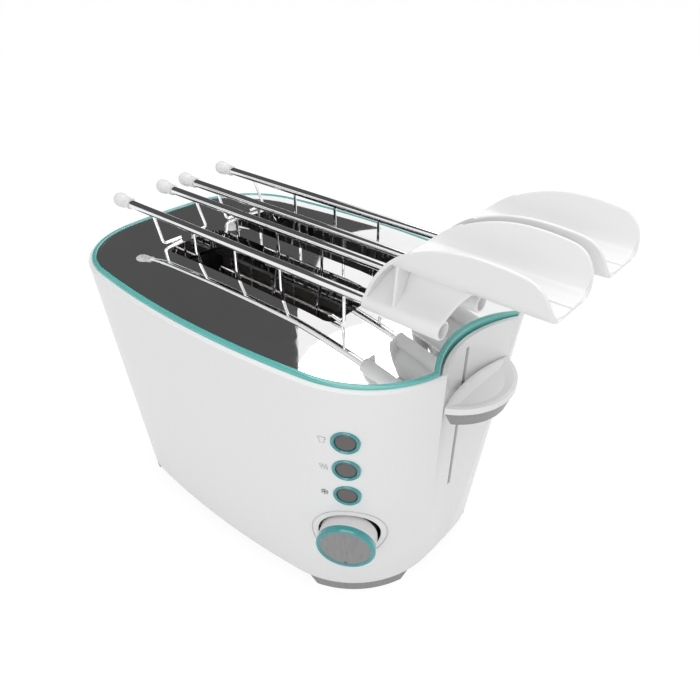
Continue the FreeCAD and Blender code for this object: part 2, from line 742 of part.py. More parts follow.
# Carriage and lever
def make_bread_rest(side):
    y = side * SLOT_PITCH / 2
    top = CARRIAGE_Z
    floor = box(REST_LEFT_X, CHAMBER_RIGHT_X - 3, y - REST_WIDTH / 2, y + REST_WIDTH / 2,
                top - REST_SHEET, top)
    for column in range(6):
        x = REST_LEFT_X + 14 + column * 22
        floor = floor.cut(rounded_block(x - 7, x + 7, y - 4, y + 4, top - 3, top + 1, 3.5))
    spine = box(REST_LEFT_X, BRACKET_X, y - REST_TAB_WIDTH / 2, y + REST_TAB_WIDTH / 2,
                top - REST_SPINE_DEPTH, top - REST_SHEET)
    return floor.fuse(spine).removeSplitter()


def make_carriage_bracket():
    """Plate behind the end plate, with its slider on the guide post and the magnet's keeper."""
    low = CARRIAGE_Z - BRACKET_HEIGHT / 2
    plate = box(BRACKET_X, BRACKET_X + BRACKET_SHEET, -BRACKET_HALF_WIDTH, BRACKET_HALF_WIDTH,
                low, low + BRACKET_HEIGHT)
    neck = box(BRACKET_X, BRACKET_X + BRACKET_SHEET, -8, 8, low, SLIDER_TOP_Z)
    slider = disc(SLIDER_RADIUS, SLIDER_BOTTOM_Z, SLIDER_TOP_Z, POST_X, 0)
    web = box(BRACKET_X, POST_X, -3, 3, SLIDER_BOTTOM_Z, SLIDER_TOP_Z)
    keeper_z = BASE_TOP_Z + MAGNET_HEIGHT + KEEPER_GAP + CARRIAGE_DROP
    keeper = box(BRACKET_X, MAGNET_X + MAGNET_WIDTH / 2, MAGNET_Y - 7, MAGNET_Y + 7,
                 keeper_z, keeper_z + KEEPER_THICKNESS)
    ear = box(BRACKET_X, POST_X + 4, SPRING_Y - 4, SPRING_Y + 4, low + 10, low + 12)
    bracket = fuse([plate, neck, slider, web, keeper, ear])
    bore = disc(POST_RADIUS + POST_GAP, SLIDER_BOTTOM_Z - 5, SLIDER_TOP_Z + 5, POST_X, 0)
    return bracket.cut(bore)


def make_guide_post():
    return disc(POST_RADIUS, BASE_TOP_Z, CHAMBER_TOP_Z + 1.5, POST_X, 0)


def make_lift_spring():
    low = CARRIAGE_Z - BRACKET_HEIGHT / 2 + 12
    high = CHAMBER_TOP_Z - BRIDGE_THICKNESS
    outer = disc(SPRING_RADIUS, low, high, POST_X, SPRING_Y)
    return outer.cut(disc(SPRING_RADIUS - SPRING_WALL, low - 1, high + 1, POST_X, SPRING_Y))


def make_magnet_yoke():
    x0 = MAGNET_X - MAGNET_WIDTH / 2
    y0 = MAGNET_Y - MAGNET_DEPTH / 2
    top = BASE_TOP_Z + MAGNET_HEIGHT
    block = box(x0, x0 + MAGNET_WIDTH, y0, y0 + MAGNET_DEPTH, BASE_TOP_Z, top)
    hollow = box(x0 + MAGNET_LEG, x0 + MAGNET_WIDTH - MAGNET_LEG, y0 - 1, y0 + MAGNET_DEPTH + 1,
                 BASE_TOP_Z + MAGNET_LEG, top + 1)
    core = disc(2.5, BASE_TOP_Z, top, MAGNET_X, MAGNET_Y)
    return block.cut(hollow).fuse(core).removeSplitter()


def make_magnet_coil():
    low = BASE_TOP_Z + MAGNET_LEG
    high = BASE_TOP_Z + MAGNET_HEIGHT - 3
    coil = disc(COIL_RADIUS, low, high, MAGNET_X, MAGNET_Y)
    return coil.cut(disc(2.5, low - 1, high + 1, MAGNET_X, MAGNET_Y))


def almond(z, inset):
    """Plan outline of the lever grip: two arcs that meet at its tips."""
    tip = LEVER_HALF_WIDTH - inset * 1.6
    x = LEVER_TIP_X + inset * 0.35
    low = Vector(x, -tip, z)
    high = Vector(x, tip, z)
    outer = Part.Arc(low, Vector(LEVER_OUTER_X - inset, 0, z), high).toShape()
    inner = Part.Arc(high, Vector(LEVER_INNER_X + inset, 0, z), low).toShape()
    return Part.Wire([outer, inner])


def make_lever_cap():
    low = LEVER_TOP_Z - LEVER_CAP_THICKNESS
    block = Part.Face(almond(low, 0.0)).extrude(Vector(0, 0, LEVER_CAP_THICKNESS))
    dish = Part.makeLoft([almond(LEVER_TOP_Z - LEVER_DISH, LEVER_LIP + 4.5),
                          almond(LEVER_TOP_Z + 0.01, LEVER_LIP)], True, True)
    return block.cut(dish)


def make_lever_band():
    top = LEVER_TOP_Z - LEVER_CAP_THICKNESS
    low = top - LEVER_BAND_HEIGHT
    band = Part.makeLoft([almond(low, LEVER_BAND_TAPER), almond(top, 0.3)], True, True)
    half = ARM_THICKNESS / 2
    pocket = box(0, ARM_END_X, -half, half, ARM_BOTTOM_Z, ARM_BOTTOM_Z + ARM_HEIGHT)
    return band.cut(pocket)


def make_lever_arm():
    half = ARM_THICKNESS / 2
    arm = box(POST_X + SLIDER_RADIUS - 2, ARM_END_X, -half, half,
              ARM_BOTTOM_Z, ARM_BOTTOM_Z + ARM_HEIGHT)
    return arm.cut(disc(SLIDER_RADIUS, ARM_BOTTOM_Z - 1, ARM_BOTTOM_Z + ARM_HEIGHT + 1, POST_X, 0))


# Controls
def make_bezel(drop):
    bore = BEZEL_RADIUS - BEZEL_WALL
    ring = revolve([(bore, -BEZEL_DEPTH), (BEZEL_RADIUS, -BEZEL_DEPTH),
                    (BEZEL_RADIUS, BEZEL_PROUD - 0.5), (BEZEL_RADIUS - 0.5, BEZEL_PROUD),
                    (bore + 0.9, BEZEL_PROUD), (bore, BEZEL_PROUD - 0.6)])
    return on_panel(ring, drop)


def make_button(drop):
    radius = BEZEL_RADIUS - BEZEL_WALL - BUTTON_GAP
    flange_top = -BEZEL_DEPTH - 0.3
    flange_low = flange_top - BUTTON_FLANGE_THICKNESS
    cap = revolve([(0, -BUTTON_DEPTH - STEM_LENGTH), (STEM_RADIUS, -BUTTON_DEPTH - STEM_LENGTH),
                   (STEM_RADIUS, -BUTTON_DEPTH), (radius, -BUTTON_DEPTH), (radius, flange_low),
                   (radius + BUTTON_FLANGE, flange_low), (radius + BUTTON_FLANGE, flange_top),
                   (radius, flange_top), (radius, BUTTON_PROUD - 0.7),
                   (radius - 0.9, BUTTON_PROUD), (0, BUTTON_PROUD)])
    return on_panel(cap, drop)


def make_circuit_board():
    low = -(knob_drop() + CIRCUIT_BELOW)
    board = box(-CIRCUIT_HALF_WIDTH, CIRCUIT_HALF_WIDTH, low, CIRCUIT_ABOVE,
                -BOARD_DEPTH, -BOARD_DEPTH + CIRCUIT_THICKNESS)
    front = -BOARD_DEPTH + CIRCUIT_THICKNESS
    top = -(BUTTON_DEPTH + STEM_LENGTH + BUTTON_TRAVEL + SWITCH_GAP)
    half = SWITCH_SIZE / 2
    pieces = [board]
    for drop in button_drops():
        pieces.append(box(-half, half, -drop - half, -drop + half, front, top))
    chip_y = -(button_drops()[-1] + 14)
    pieces.append(box(-6, 6, chip_y - 3, chip_y + 3, front, front + 2))
    return on_panel(fuse(pieces), 0.0)


def make_dial_sensor():
    front = -BOARD_DEPTH + CIRCUIT_THICKNESS
    can = disc(POT_RADIUS, front, front + POT_HEIGHT)
    bushing = disc(BUSHING_RADIUS, front + POT_HEIGHT, front + POT_HEIGHT + BUSHING_HEIGHT)
    bore = disc(SHAFT_RADIUS + SHAFT_GAP, front + 1.0, 0)
    return on_panel(can.fuse(bushing).cut(bore), knob_drop())


def make_knob_shaft():
    front = -BOARD_DEPTH + CIRCUIT_THICKNESS
    face_low = KNOB_HEIGHT - KNOB_FACE_RECESS - KNOB_FACE_THICKNESS
    return on_panel(disc(SHAFT_RADIUS, front + 1.2, face_low - 2), knob_drop())


def make_knob_skirt():
    ring_low = KNOB_HEIGHT - KNOB_RING_HEIGHT
    face_low = KNOB_HEIGHT - KNOB_FACE_RECESS - KNOB_FACE_THICKNESS
    base = KNOB_RADIUS - 0.6
    inner = KNOB_RADIUS - KNOB_RING_WIDTH
    hub_low = -BOARD_DEPTH + CIRCUIT_THICKNESS + POT_HEIGHT + BUSHING_HEIGHT + 0.4
    skirt = revolve([(0, face_low - 2), (SHAFT_RADIUS, face_low - 2), (SHAFT_RADIUS, hub_low),
                     (KNOB_HUB_RADIUS, hub_low), (KNOB_HUB_RADIUS, face_low - 3),
                     (base - KNOB_WALL, face_low - 3), (base - KNOB_WALL, -KNOB_INSIDE),
                     (base, -KNOB_INSIDE), (KNOB_RADIUS, ring_low), (inner, ring_low),
                     (inner, face_low), (0, face_low)])
    return on_panel(skirt, knob_drop())


def make_knob_ring():
    low = KNOB_HEIGHT - KNOB_RING_HEIGHT
    inner = KNOB_RADIUS - KNOB_RING_WIDTH
    ring = revolve([(inner, low), (KNOB_RADIUS, low), (KNOB_RADIUS + 0.2, KNOB_HEIGHT - 0.9),
                    (KNOB_RADIUS - 0.7, KNOB_HEIGHT), (inner + 0.6, KNOB_HEIGHT),
                    (inner, KNOB_HEIGHT - 0.4)])
    return on_panel(ring, knob_drop())


def make_knob_face():
    high = KNOB_HEIGHT - KNOB_FACE_RECESS
    radius = KNOB_RADIUS - KNOB_RING_WIDTH
    face = disc(radius, high - KNOB_FACE_THICKNESS, high)
    mark = box(-0.9, 0.9, -radius + 0.6, -radius + 3.0, high - 0.4, high + 1)
    return on_panel(face.cut(mark), knob_drop())


# Tongs
def bent_wire(points, radius, bend):
    """Round wire along straight runs joined by tangent arcs."""
    edges = []
    last = points[0]
    for index in range(1, len(points) - 1):
        corner = points[index]
        back = points[index - 1].sub(corner)
        ahead = points[index + 1].sub(corner)
        angle = back.getAngle(ahead)
        cut = min(bend / math.tan(angle / 2), back.Length * 0.45, ahead.Length * 0.45)
        back.normalize()
        ahead.normalize()
        start = corner.add(back * cut)
        finish = corner.add(ahead * cut)
        inward = back.add(ahead)
        inward.normalize()
        turn = cut * math.tan(angle / 2)
        depth = cut / math.cos(angle / 2) - turn
        middle = corner.add(inward * depth)
        edges.append(Part.LineSegment(last, start).toShape())
        edges.append(Part.Arc(start, middle, finish).toShape())
        last = finish
    edges.append(Part.LineSegment(last, points[-1]).toShape())
    path = Part.Wire(edges)
    direction = points[1].sub(points[0])
    ring = Part.Wire([Part.makeCircle(radius, points[0], direction)])
    return path.makePipeShell([ring], True, False)


def tong_y(side, half, spread):
    """Y of a point at a distance from the tong's middle plane, on one of its halves."""
    return side * SLOT_PITCH / 2 + half * spread


def make_jaw(side, half):
    """Chromed rod with its hanging wires, rails and two feet."""
    def at(x, spread, z):
        return Vector(x, tong_y(side, half, spread), z)

    pieces = [rod(at(ROD_LEFT_X, ROD_SPREAD, ROD_Z), at(TUBE_RIGHT_X - 6, ROD_SPREAD, ROD_Z),
                  ROD_RADIUS)]
    for column in range(JAW_WIRES):
        x = JAW_FIRST_X + column * JAW_PITCH
        points = [at(x, ROD_SPREAD, ROD_Z), at(x, ROD_SPREAD, JAW_NECK_Z),
                  at(x, JAW_SPREAD, JAW_BEND_Z), at(x, JAW_SPREAD, JAW_BOTTOM_Z),
                  at(x, JAW_HOOK_SPREAD, JAW_BOTTOM_Z)]
        pieces.append(bent_wire(points, WIRE_RADIUS, WIRE_BEND))
    rail_spread = JAW_SPREAD + WIRE_RADIUS * 1.7
    for row in range(JAW_RAILS):
        z = JAW_BOTTOM_Z + 3 + row * (JAW_BEND_Z - JAW_BOTTOM_Z - 6) / (JAW_RAILS - 1)
        pieces.append(rod(at(SLOT_CENTRE_X - RAIL_END_X, rail_spread, z),
                          at(SLOT_CENTRE_X + RAIL_END_X, rail_spread, z), WIRE_RADIUS))
    for end in (-1, 1):
        x = SLOT_CENTRE_X + end * (RAIL_END_X - 1)
        top = JAW_BEND_Z - 3
        points = [at(x, JAW_SPREAD, top), at(x, JAW_SPREAD, JAW_BOTTOM_Z),
                  at(x, JAW_HOOK_SPREAD, JAW_BOTTOM_Z)]
        pieces.append(bent_wire(points, WIRE_RADIUS, WIRE_BEND))
    pieces += make_legs(at)
    return fuse(pieces)


def make_legs(at):
    """Feet that stand on the plate beside the slot's two ends."""
    lift = WIRE_RADIUS + LEG_GAP
    y = at(0, ROD_SPREAD, 0).y
    inner_y = at(0, LEFT_FOOT_END, 0).y
    left_z = max(dome_height(LEFT_LEG_FOOT_X, y), dome_height(LEFT_LEG_FOOT_X, inner_y)) + lift
    left = [at(LEFT_LEG_TOP_X, ROD_SPREAD, ROD_Z), at(LEFT_LEG_FOOT_X, ROD_SPREAD + 0.6, left_z),
            at(LEFT_LEG_FOOT_X, LEFT_FOOT_END, left_z)]
    right_z = dome_height(RIGHT_LEG_X, y) + WIRE_RADIUS + RIGHT_FOOT_GAP
    hook_spread = ROD_SPREAD - RIGHT_HOOK_INSET
    hook_z = right_z + RIGHT_HOOK_RISE
    right = [at(RIGHT_LEG_X, ROD_SPREAD, ROD_Z), at(RIGHT_LEG_X, ROD_SPREAD, right_z),
             at(RIGHT_HOOK_X, hook_spread, hook_z),
             at(RIGHT_HOOK_X - 1.5, hook_spread, hook_z - RIGHT_HOOK_DROP)]
    return [bent_wire(left, WIRE_RADIUS, LEG_BEND), bent_wire(right, WIRE_RADIUS, LEG_BEND)]


def make_tip_cap(side, half):
    length = CAP_LENGTH
    neck = CAP_NECK_RADIUS
    bulb = CAP_RADIUS
    start = Vector(0, 0, 0)
    nose = Part.Arc(start, Vector(bulb * 0.72, 0, 1.7), Vector(bulb, 0, 5.2)).toShape()
    waist = Part.Arc(Vector(bulb, 0, 5.2), Vector(bulb * 0.93, 0, 9.0),
                     Vector(neck, 0, 12.0)).toShape()
    line = [Vector(neck, 0, 12.0), Vector(neck, 0, length), Vector(0, 0, length), start]
    edges = [nose, waist]
    for a, b in zip(line, line[1:]):
        edges.append(Part.LineSegment(a, b).toShape())
    cap = Part.Face(Part.Wire(edges)).revolve(Vector(0, 0, 0), Vector(0, 0, 1), 360)
    depth = ROD_LEFT_X - CAP_LEFT_X
    cap = cap.cut(disc(ROD_RADIUS + CAP_FIT, depth, length + 1))
    cap.rotate(Vector(0, 0, 0), Vector(0, 1, 0), 90)
    cap.translate(Vector(CAP_LEFT_X, tong_y(side, half, ROD_SPREAD), ROD_Z))
    return cap


def side_face(edges, side, half, spread):
    """Face drawn in X and Z, standing at a distance from the tong's middle plane."""
    y = tong_y(side, half, spread)
    face = Part.Face(Part.Wire(edges))
    face.translate(Vector(0, y, 0))
    return face


def line_xz(x0, z0, x1, z1):
    return Part.LineSegment(Vector(x0, 0, z0), Vector(x1, 0, z1)).toShape()


def arc_xz(x0, z0, xm, zm, x1, z1):
    return Part.Arc(Vector(x0, 0, z0), Vector(xm, 0, zm), Vector(x1, 0, z1)).toShape()


def petal_wall(side, half):
    """Flared side of the trough, cut to its rounded rim."""
    low = TROUGH_Z
    high = TROUGH_Z + PETAL_HEIGHT + 1
    foot = TROUGH_HALF_WIDTH
    head = TROUGH_HALF_WIDTH + PETAL_FLARE
    corners = [(foot - PETAL_SHEET, low), (foot - 0.5, low), (foot, low + 0.9), (head, high),
               (head - PETAL_SHEET, high), (foot - PETAL_SHEET, low)]
    wire = Part.makePolygon([Vector(TROUGH_LEFT_X - 4, tong_y(side, half, s), z)
                             for s, z in corners])
    plate = Part.Face(wire).extrude(Vector(TROUGH_RIGHT_X - TROUGH_LEFT_X + 4, 0, 0))
    left = PETAL_CENTRE_X - PETAL_HALF_LENGTH
    right = PETAL_CENTRE_X + PETAL_HALF_LENGTH
    ellipse = Part.Ellipse(Vector(right, 0, low), Vector(PETAL_CENTRE_X, 0, low + PETAL_HEIGHT),
                           Vector(PETAL_CENTRE_X, 0, low))
    arc = Part.ArcOfEllipse(ellipse, 0, math.pi).toShape()
    face = side_face([arc, line_xz(left, low, right, low)], side, half, 0)
    outline = face.extrude(Vector(0, half * 60, 0))
    return plate.common(outline)


def skirt_plate(side, half):
    """Upright web from the tube up to the trough."""
    top = TROUGH_Z + 0.5
    edges = [arc_xz(HANDLE_LEFT_X, ROD_Z, ARCH_MID_X, ARCH_MID_Z, TROUGH_LEFT_X, top),
             line_xz(TROUGH_LEFT_X, top, SKIRT_RIGHT_X, top),
             arc_xz(SKIRT_RIGHT_X, top, TUBE_RIGHT_X + 6.0, TROUGH_Z - 10.5, TUBE_RIGHT_X, ROD_Z),
             line_xz(TUBE_RIGHT_X, ROD_Z, HANDLE_LEFT_X, ROD_Z)]
    face = side_face(edges, side, half, ROD_SPREAD - SKIRT_SHEET / 2)
    return face.extrude(Vector(0, half * SKIRT_SHEET, 0))


def arch_flange(side, half):
    """Turned edge along the left end of the skirt."""
    top = TROUGH_Z + 1.0
    step = ARCH_FLANGE
    edges = [arc_xz(HANDLE_LEFT_X, ROD_Z - 2, ARCH_MID_X, ARCH_MID_Z, TROUGH_LEFT_X, top),
             line_xz(TROUGH_LEFT_X, top, TROUGH_LEFT_X + step, top),
             arc_xz(TROUGH_LEFT_X + step, top, ARCH_MID_X + step, ARCH_MID_Z,
                    HANDLE_LEFT_X + step, ROD_Z - 2),
             line_xz(HANDLE_LEFT_X + step, ROD_Z - 2, HANDLE_LEFT_X, ROD_Z - 2)]
    inner = ROD_SPREAD - SKIRT_SHEET / 2
    face = side_face(edges, side, half, inner)
    return face.extrude(Vector(0, half * (TROUGH_HALF_WIDTH + 0.3 - inner), 0))


def block_xz(side, half, x0, x1, s0, s1, z0, z1):
    y0 = tong_y(side, half, s0)
    y1 = tong_y(side, half, s1)
    return box(x0, x1, min(y0, y1), max(y0, y1), z0, z1)


def knuckle_starts(half):
    """Left ends of the hinge knuckles on one half; the two halves take turns."""
    step = KNUCKLE_LENGTH + KNUCKLE_GAP
    first = PIN_LEFT_X + 1.5 + (0 if half < 0 else step)
    return [first, PIN_RIGHT_X - 1.5 - KNUCKLE_LENGTH - (step if half < 0 else 0)]


def make_handle(side, half):
    """One half of a tong's grip: trough, petal, skirt, rod tube and hinge knuckles."""
    floor = block_xz(side, half, TROUGH_LEFT_X, TROUGH_RIGHT_X, SEAM_GAP,
                     TROUGH_HALF_WIDTH - 0.5, TROUGH_Z, TROUGH_Z + TROUGH_FLOOR)
    rib = block_xz(side, half, RIB_X, RIB_X + RIB_THICKNESS, ROD_SPREAD, TROUGH_HALF_WIDTH - 0.6,
                   ROD_Z + 3, TROUGH_Z + 0.5)
    tube_start = Vector(HANDLE_LEFT_X, tong_y(side, half, ROD_SPREAD), ROD_Z)
    tube_end = Vector(TUBE_RIGHT_X, tong_y(side, half, ROD_SPREAD), ROD_Z)
    pieces = [floor, petal_wall(side, half), skirt_plate(side, half), arch_flange(side, half),
              rib, rod(tube_start, tube_end, TUBE_RADIUS)]
    middle = tong_y(side, half, 0)
    for x in knuckle_starts(half):
        pieces.append(rod(Vector(x, middle, PIN_Z), Vector(x + KNUCKLE_LENGTH, middle, PIN_Z),
                          KNUCKLE_RADIUS))
        pieces.append(block_xz(side, half, x, x + KNUCKLE_LENGTH, SEAM_GAP + 0.3,
                               KNUCKLE_RADIUS + 1.5, PIN_Z, TROUGH_Z + 0.5))
    handle = fuse(pieces)
    reach = Vector(1, 0, 0)
    handle = handle.cut(rod(tube_start.sub(reach), tube_end.add(reach), ROD_RADIUS + TUBE_FIT))
    pin_start = Vector(PIN_LEFT_X - 5, middle, PIN_Z)
    pin_end = Vector(PIN_RIGHT_X + 5, middle, PIN_Z)
    return handle.cut(rod(pin_start, pin_end, PIN_RADIUS + PIN_GAP)).removeSplitter()


def make_hinge_pin(side):
    y = tong_y(side, 1, 0)
    return rod(Vector(PIN_LEFT_X, y, PIN_Z), Vector(PIN_RIGHT_X, y, PIN_Z), PIN_RADIUS)


def make_tong_spring(side):
    y = tong_y(side, 1, 0)
    x0 = knuckle_starts(1)[0] + KNUCKLE_LENGTH + 1
    x1 = knuckle_starts(-1)[1] - 1
    coil = rod(Vector(x0, y, PIN_Z), Vector(x1, y, PIN_Z), TORSION_RADIUS)
    return coil.cut(rod(Vector(x0 - 1, y, PIN_Z), Vector(x1 + 1, y, PIN_Z), PIN_RADIUS + TORSION_GAP))


def build():
    os.makedirs("parts", exist_ok=True)
    save("body_shell", make_body_shell())
    save("rim_ring", make_rim_ring())
    save("top_plate", make_top_plate())
    save("base_plate", make_base_plate())
    save("base_screws", make_base_screws())
    save("cord_bush", make_cord_bush())
    save("foot_front_right", make_foot(1, -1))
    save("foot_front_left", make_foot(-1, -1))
    save("foot_rear_right", make_foot(1, 1))
    save("foot_rear_left", make_foot(-1, 1))
    save("foot_pads", make_foot_pads())
    save("crumb_tray", make_crumb_tray())
    save("chamber_left_plate", make_left_end_plate())
    save("chamber_right_plate", make_right_end_plate())
    for name, y, faces in (("front", -BOARD_Y, (1,)), ("centre", 0.0, (-1, 1)), ("rear", BOARD_Y, (-1,))):
        save("heater_board_" + name, make_heater_board(y))
        save("heater_ribbon_" + name, make_ribbons(y, faces))
    for name, side in (("front", -1), ("rear", 1)):
        save("bread_guard_" + name, make_bread_guard(side))
        save("bread_rest_" + name, make_bread_rest(side))
    save("carriage_bracket", make_carriage_bracket())
    save("guide_post", make_guide_post())
    save("lift_spring", make_lift_spring())
    save("magnet_yoke", make_magnet_yoke())
    save("magnet_coil", make_magnet_coil())
    save("lever_arm", make_lever_arm())
    save("lever_band", make_lever_band())
    save("lever_cap", make_lever_cap())
    for name, drop in zip(("cancel", "reheat", "defrost"), button_drops()):
        save("bezel_" + name, make_bezel(drop))
        save("button_" + name, make_button(drop))
    save("control_board", make_circuit_board())
    save("dial_sensor", make_dial_sensor())
    save("knob_shaft", make_knob_shaft())
    save("knob_skirt", make_knob_skirt())
    save("knob_ring", make_knob_ring())
    save("knob_face", make_knob_face())
    for tong, side in (("front_tong", -1), ("rear_tong", 1)):
        save(tong + "_hinge_pin", make_hinge_pin(side))
        save(tong + "_spring", make_tong_spring(side))
        for name, half in (("front", -1), ("rear", 1)):
            save(tong + "_" + name + "_handle", make_handle(side, half))
            save(tong + "_" + name + "_jaw", make_jaw(side, half))
            save(tong + "_" + name + "_tip_cap", make_tip_cap(side, half))


build()
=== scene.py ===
import bmesh
import bpy
import json
import math
from mathutils import Matrix, Vector


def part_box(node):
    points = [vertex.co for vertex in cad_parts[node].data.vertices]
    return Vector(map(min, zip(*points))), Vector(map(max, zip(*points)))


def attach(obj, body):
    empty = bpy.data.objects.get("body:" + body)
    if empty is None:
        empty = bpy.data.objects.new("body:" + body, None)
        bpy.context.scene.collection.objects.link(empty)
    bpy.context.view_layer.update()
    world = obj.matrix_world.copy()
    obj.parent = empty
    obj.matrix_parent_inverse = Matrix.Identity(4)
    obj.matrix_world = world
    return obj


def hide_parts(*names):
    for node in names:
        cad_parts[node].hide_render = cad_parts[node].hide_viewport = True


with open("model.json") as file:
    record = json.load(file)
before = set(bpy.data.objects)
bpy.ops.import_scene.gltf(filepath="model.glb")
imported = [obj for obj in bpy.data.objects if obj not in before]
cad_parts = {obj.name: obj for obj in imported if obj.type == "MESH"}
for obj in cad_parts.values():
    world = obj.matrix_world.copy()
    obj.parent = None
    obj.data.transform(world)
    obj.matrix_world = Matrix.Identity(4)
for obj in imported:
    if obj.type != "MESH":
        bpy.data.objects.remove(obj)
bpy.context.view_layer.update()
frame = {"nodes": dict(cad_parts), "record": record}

nodes = frame["nodes"]
scene = bpy.context.scene
scene.view_settings.view_transform = "Standard"

# Camera, solved from the photograph
CAMERA_PLACE = Vector((0.2922, -0.2889, 0.3798))
CAMERA_TARGET = Vector((0.0489, -0.00135, 0.1330))
CAMERA_ROLL = math.radians(0.2)
CAMERA_LENS = 35.03
CAMERA_SENSOR = 36.0
CAMERA_REACH = (0.01, 50.0)


def make_camera():
    data = bpy.data.cameras.new("camera")
    data.sensor_fit = "HORIZONTAL"
    data.sensor_width = CAMERA_SENSOR
    data.lens = CAMERA_LENS
    data.clip_start, data.clip_end = CAMERA_REACH
    camera = bpy.data.objects.new("camera", data)
    scene.collection.objects.link(camera)
    aim = (CAMERA_TARGET - CAMERA_PLACE).to_track_quat("-Z", "Y")
    camera.rotation_mode = "QUATERNION"
    camera.rotation_quaternion = aim @ Matrix.Rotation(CAMERA_ROLL, 3, "Z").to_quaternion()
    camera.location = CAMERA_PLACE
    scene.camera = camera


# Finishes
NOISE_LOW = 0.3
NOISE_HIGH = 0.7
COAT_ROUGHNESS = 0.04


def shade(colour, factor):
    return tuple(min(1.0, channel * factor) for channel in colour)


class Finish:
    """A material's node tree, with its pattern laid on Object coordinates."""

    def __init__(self, name, roughness, metallic=0.0, coat=0.0):
        self.material = bpy.data.materials.new(name)
        self.material.use_nodes = True
        self.tree = self.material.node_tree
        self.shader = self.tree.nodes["Principled BSDF"]
        self.shader.inputs["Roughness"].default_value = roughness
        self.shader.inputs["Metallic"].default_value = metallic
        self.shader.inputs["Coat Weight"].default_value = coat
        self.shader.inputs["Coat Roughness"].default_value = COAT_ROUGHNESS
        self.place = self.node("ShaderNodeTexCoord").outputs["Object"]

    def node(self, kind, **values):
        made = self.tree.nodes.new(kind)
        for key, value in values.items():
            setattr(made, key, value)
        return made

    def join(self, source, target):
        self.tree.links.new(source, target)

    def stretched(self, scale):
        """Object coordinates stretched along one axis, for brushed or drawn grain."""
        mapping = self.node("ShaderNodeMapping")
        mapping.inputs["Scale"].default_value = scale
        self.join(self.place, mapping.inputs["Vector"])
        return mapping.outputs["Vector"]

    def noise(self, scale, detail, along=None):
        grain = self.node("ShaderNodeTexNoise")
        grain.inputs["Scale"].default_value = scale
        grain.inputs["Detail"].default_value = detail
        self.join(along or self.place, grain.inputs["Vector"])
        return grain.outputs["Fac"]

    def ramp(self, factor, low, high):
        """Colour between two stops, each a place on the factor and a colour."""
        band = self.node("ShaderNodeValToRGB")
        for stop, (at, colour) in zip(band.color_ramp.elements, (low, high)):
            stop.position = at
            stop.color = (*colour, 1.0)
        self.join(factor, band.inputs["Fac"])
        return band.outputs["Color"]

    def spread(self, factor, low, high):
        """The factor's middle range laid over low to high."""
        span = self.node("ShaderNodeMapRange")
        span.inputs["From Min"].default_value = NOISE_LOW
        span.inputs["From Max"].default_value = NOISE_HIGH
        span.inputs["To Min"].default_value = low
        span.inputs["To Max"].default_value = high
        self.join(factor, span.inputs["Value"])
        return span.outputs["Result"]

    def colour(self, output):
        self.join(output, self.shader.inputs["Base Color"])
        return self

    def clouded(self, factor, colour, darker, lighter):
        """Base colour that wavers between a darker and a lighter tone."""
        low = (NOISE_LOW, shade(colour, darker))
        high = (NOISE_HIGH, shade(colour, lighter))
        return self.colour(self.ramp(factor, low, high))

    def rough(self, output):
        self.join(output, self.shader.inputs["Roughness"])
        return self

    def bump(self, height, depth, strength=1.0):
        raised = self.node("ShaderNodeBump")
        raised.inputs["Distance"].default_value = depth
        raised.inputs["Strength"].default_value = strength
        self.join(height, raised.inputs["Height"])
        self.join(raised.outputs["Normal"], self.shader.inputs["Normal"])
        return self


def moulded(name, colour, roughness, grain=900.0, depth=0.00001, spread=0.01, gloss=0.04):
    """Moulded plastic: faint flow clouds, a fine spark-eroded grain and slightly uneven gloss."""
    finish = Finish(name, roughness)
    finish.clouded(finish.noise(9.0, 2.0), colour, 1 - spread, 1 + spread)
    finish.rough(finish.spread(finish.noise(60.0, 3.0), roughness * (1 - gloss), roughness * (1 + gloss)))
    return finish.bump(finish.noise(grain, 2.0), depth, strength=0.5).material


def brushed(name, colour, roughness, along, scale, depth=0.00001, metallic=1.0, spread=0.12):
    """Metal with drawn or brushed lines; along gives the stretch of the grain."""
    finish = Finish(name, roughness, metallic=metallic)
    lines = finish.noise(scale, 8.0, finish.stretched(along))
    finish.clouded(lines, colour, 1 - spread, 1 + spread)
    finish.rough(finish.spread(lines, roughness * 0.75, roughness * 1.3))
    return finish.bump(lines, depth).material


def polished(name, colour, roughness, spread=0.04):
    """Polished or plated steel with faint haze."""
    finish = Finish(name, roughness, metallic=1.0)
    finish.clouded(finish.noise(30.0, 6.0), colour, 1 - spread, 1 + spread)
    finish.rough(finish.spread(finish.noise(180.0, 7.0), roughness * 0.6, roughness * 1.5))
    return finish.bump(finish.noise(25.0, 2.0), depth=0.00001, strength=0.2).material


def mica_sheet():
    finish = Finish("mica_sheet", 0.55)
    flakes = finish.node("ShaderNodeTexVoronoi")
    flakes.inputs["Scale"].default_value = 420.0
    finish.join(finish.place, flakes.inputs["Vector"])
    dark = (NOISE_LOW, (0.045, 0.04, 0.035))
    light = (NOISE_HIGH, (0.10, 0.09, 0.08))
    finish.colour(finish.ramp(finish.noise(35.0, 6.0), dark, light))
    return finish.bump(flakes.outputs["Distance"], depth=0.00006).material


def heated_ribbon():
    finish = Finish("heated_ribbon", 0.5, metallic=0.9)
    scorched = (NOISE_LOW, (0.10, 0.085, 0.08))
    bright = (0.6, (0.26, 0.22, 0.20))
    finish.colour(finish.ramp(finish.noise(60.0, 6.0), scorched, bright))
    return finish.bump(finish.noise(700.0, 3.0), depth=0.00002).material


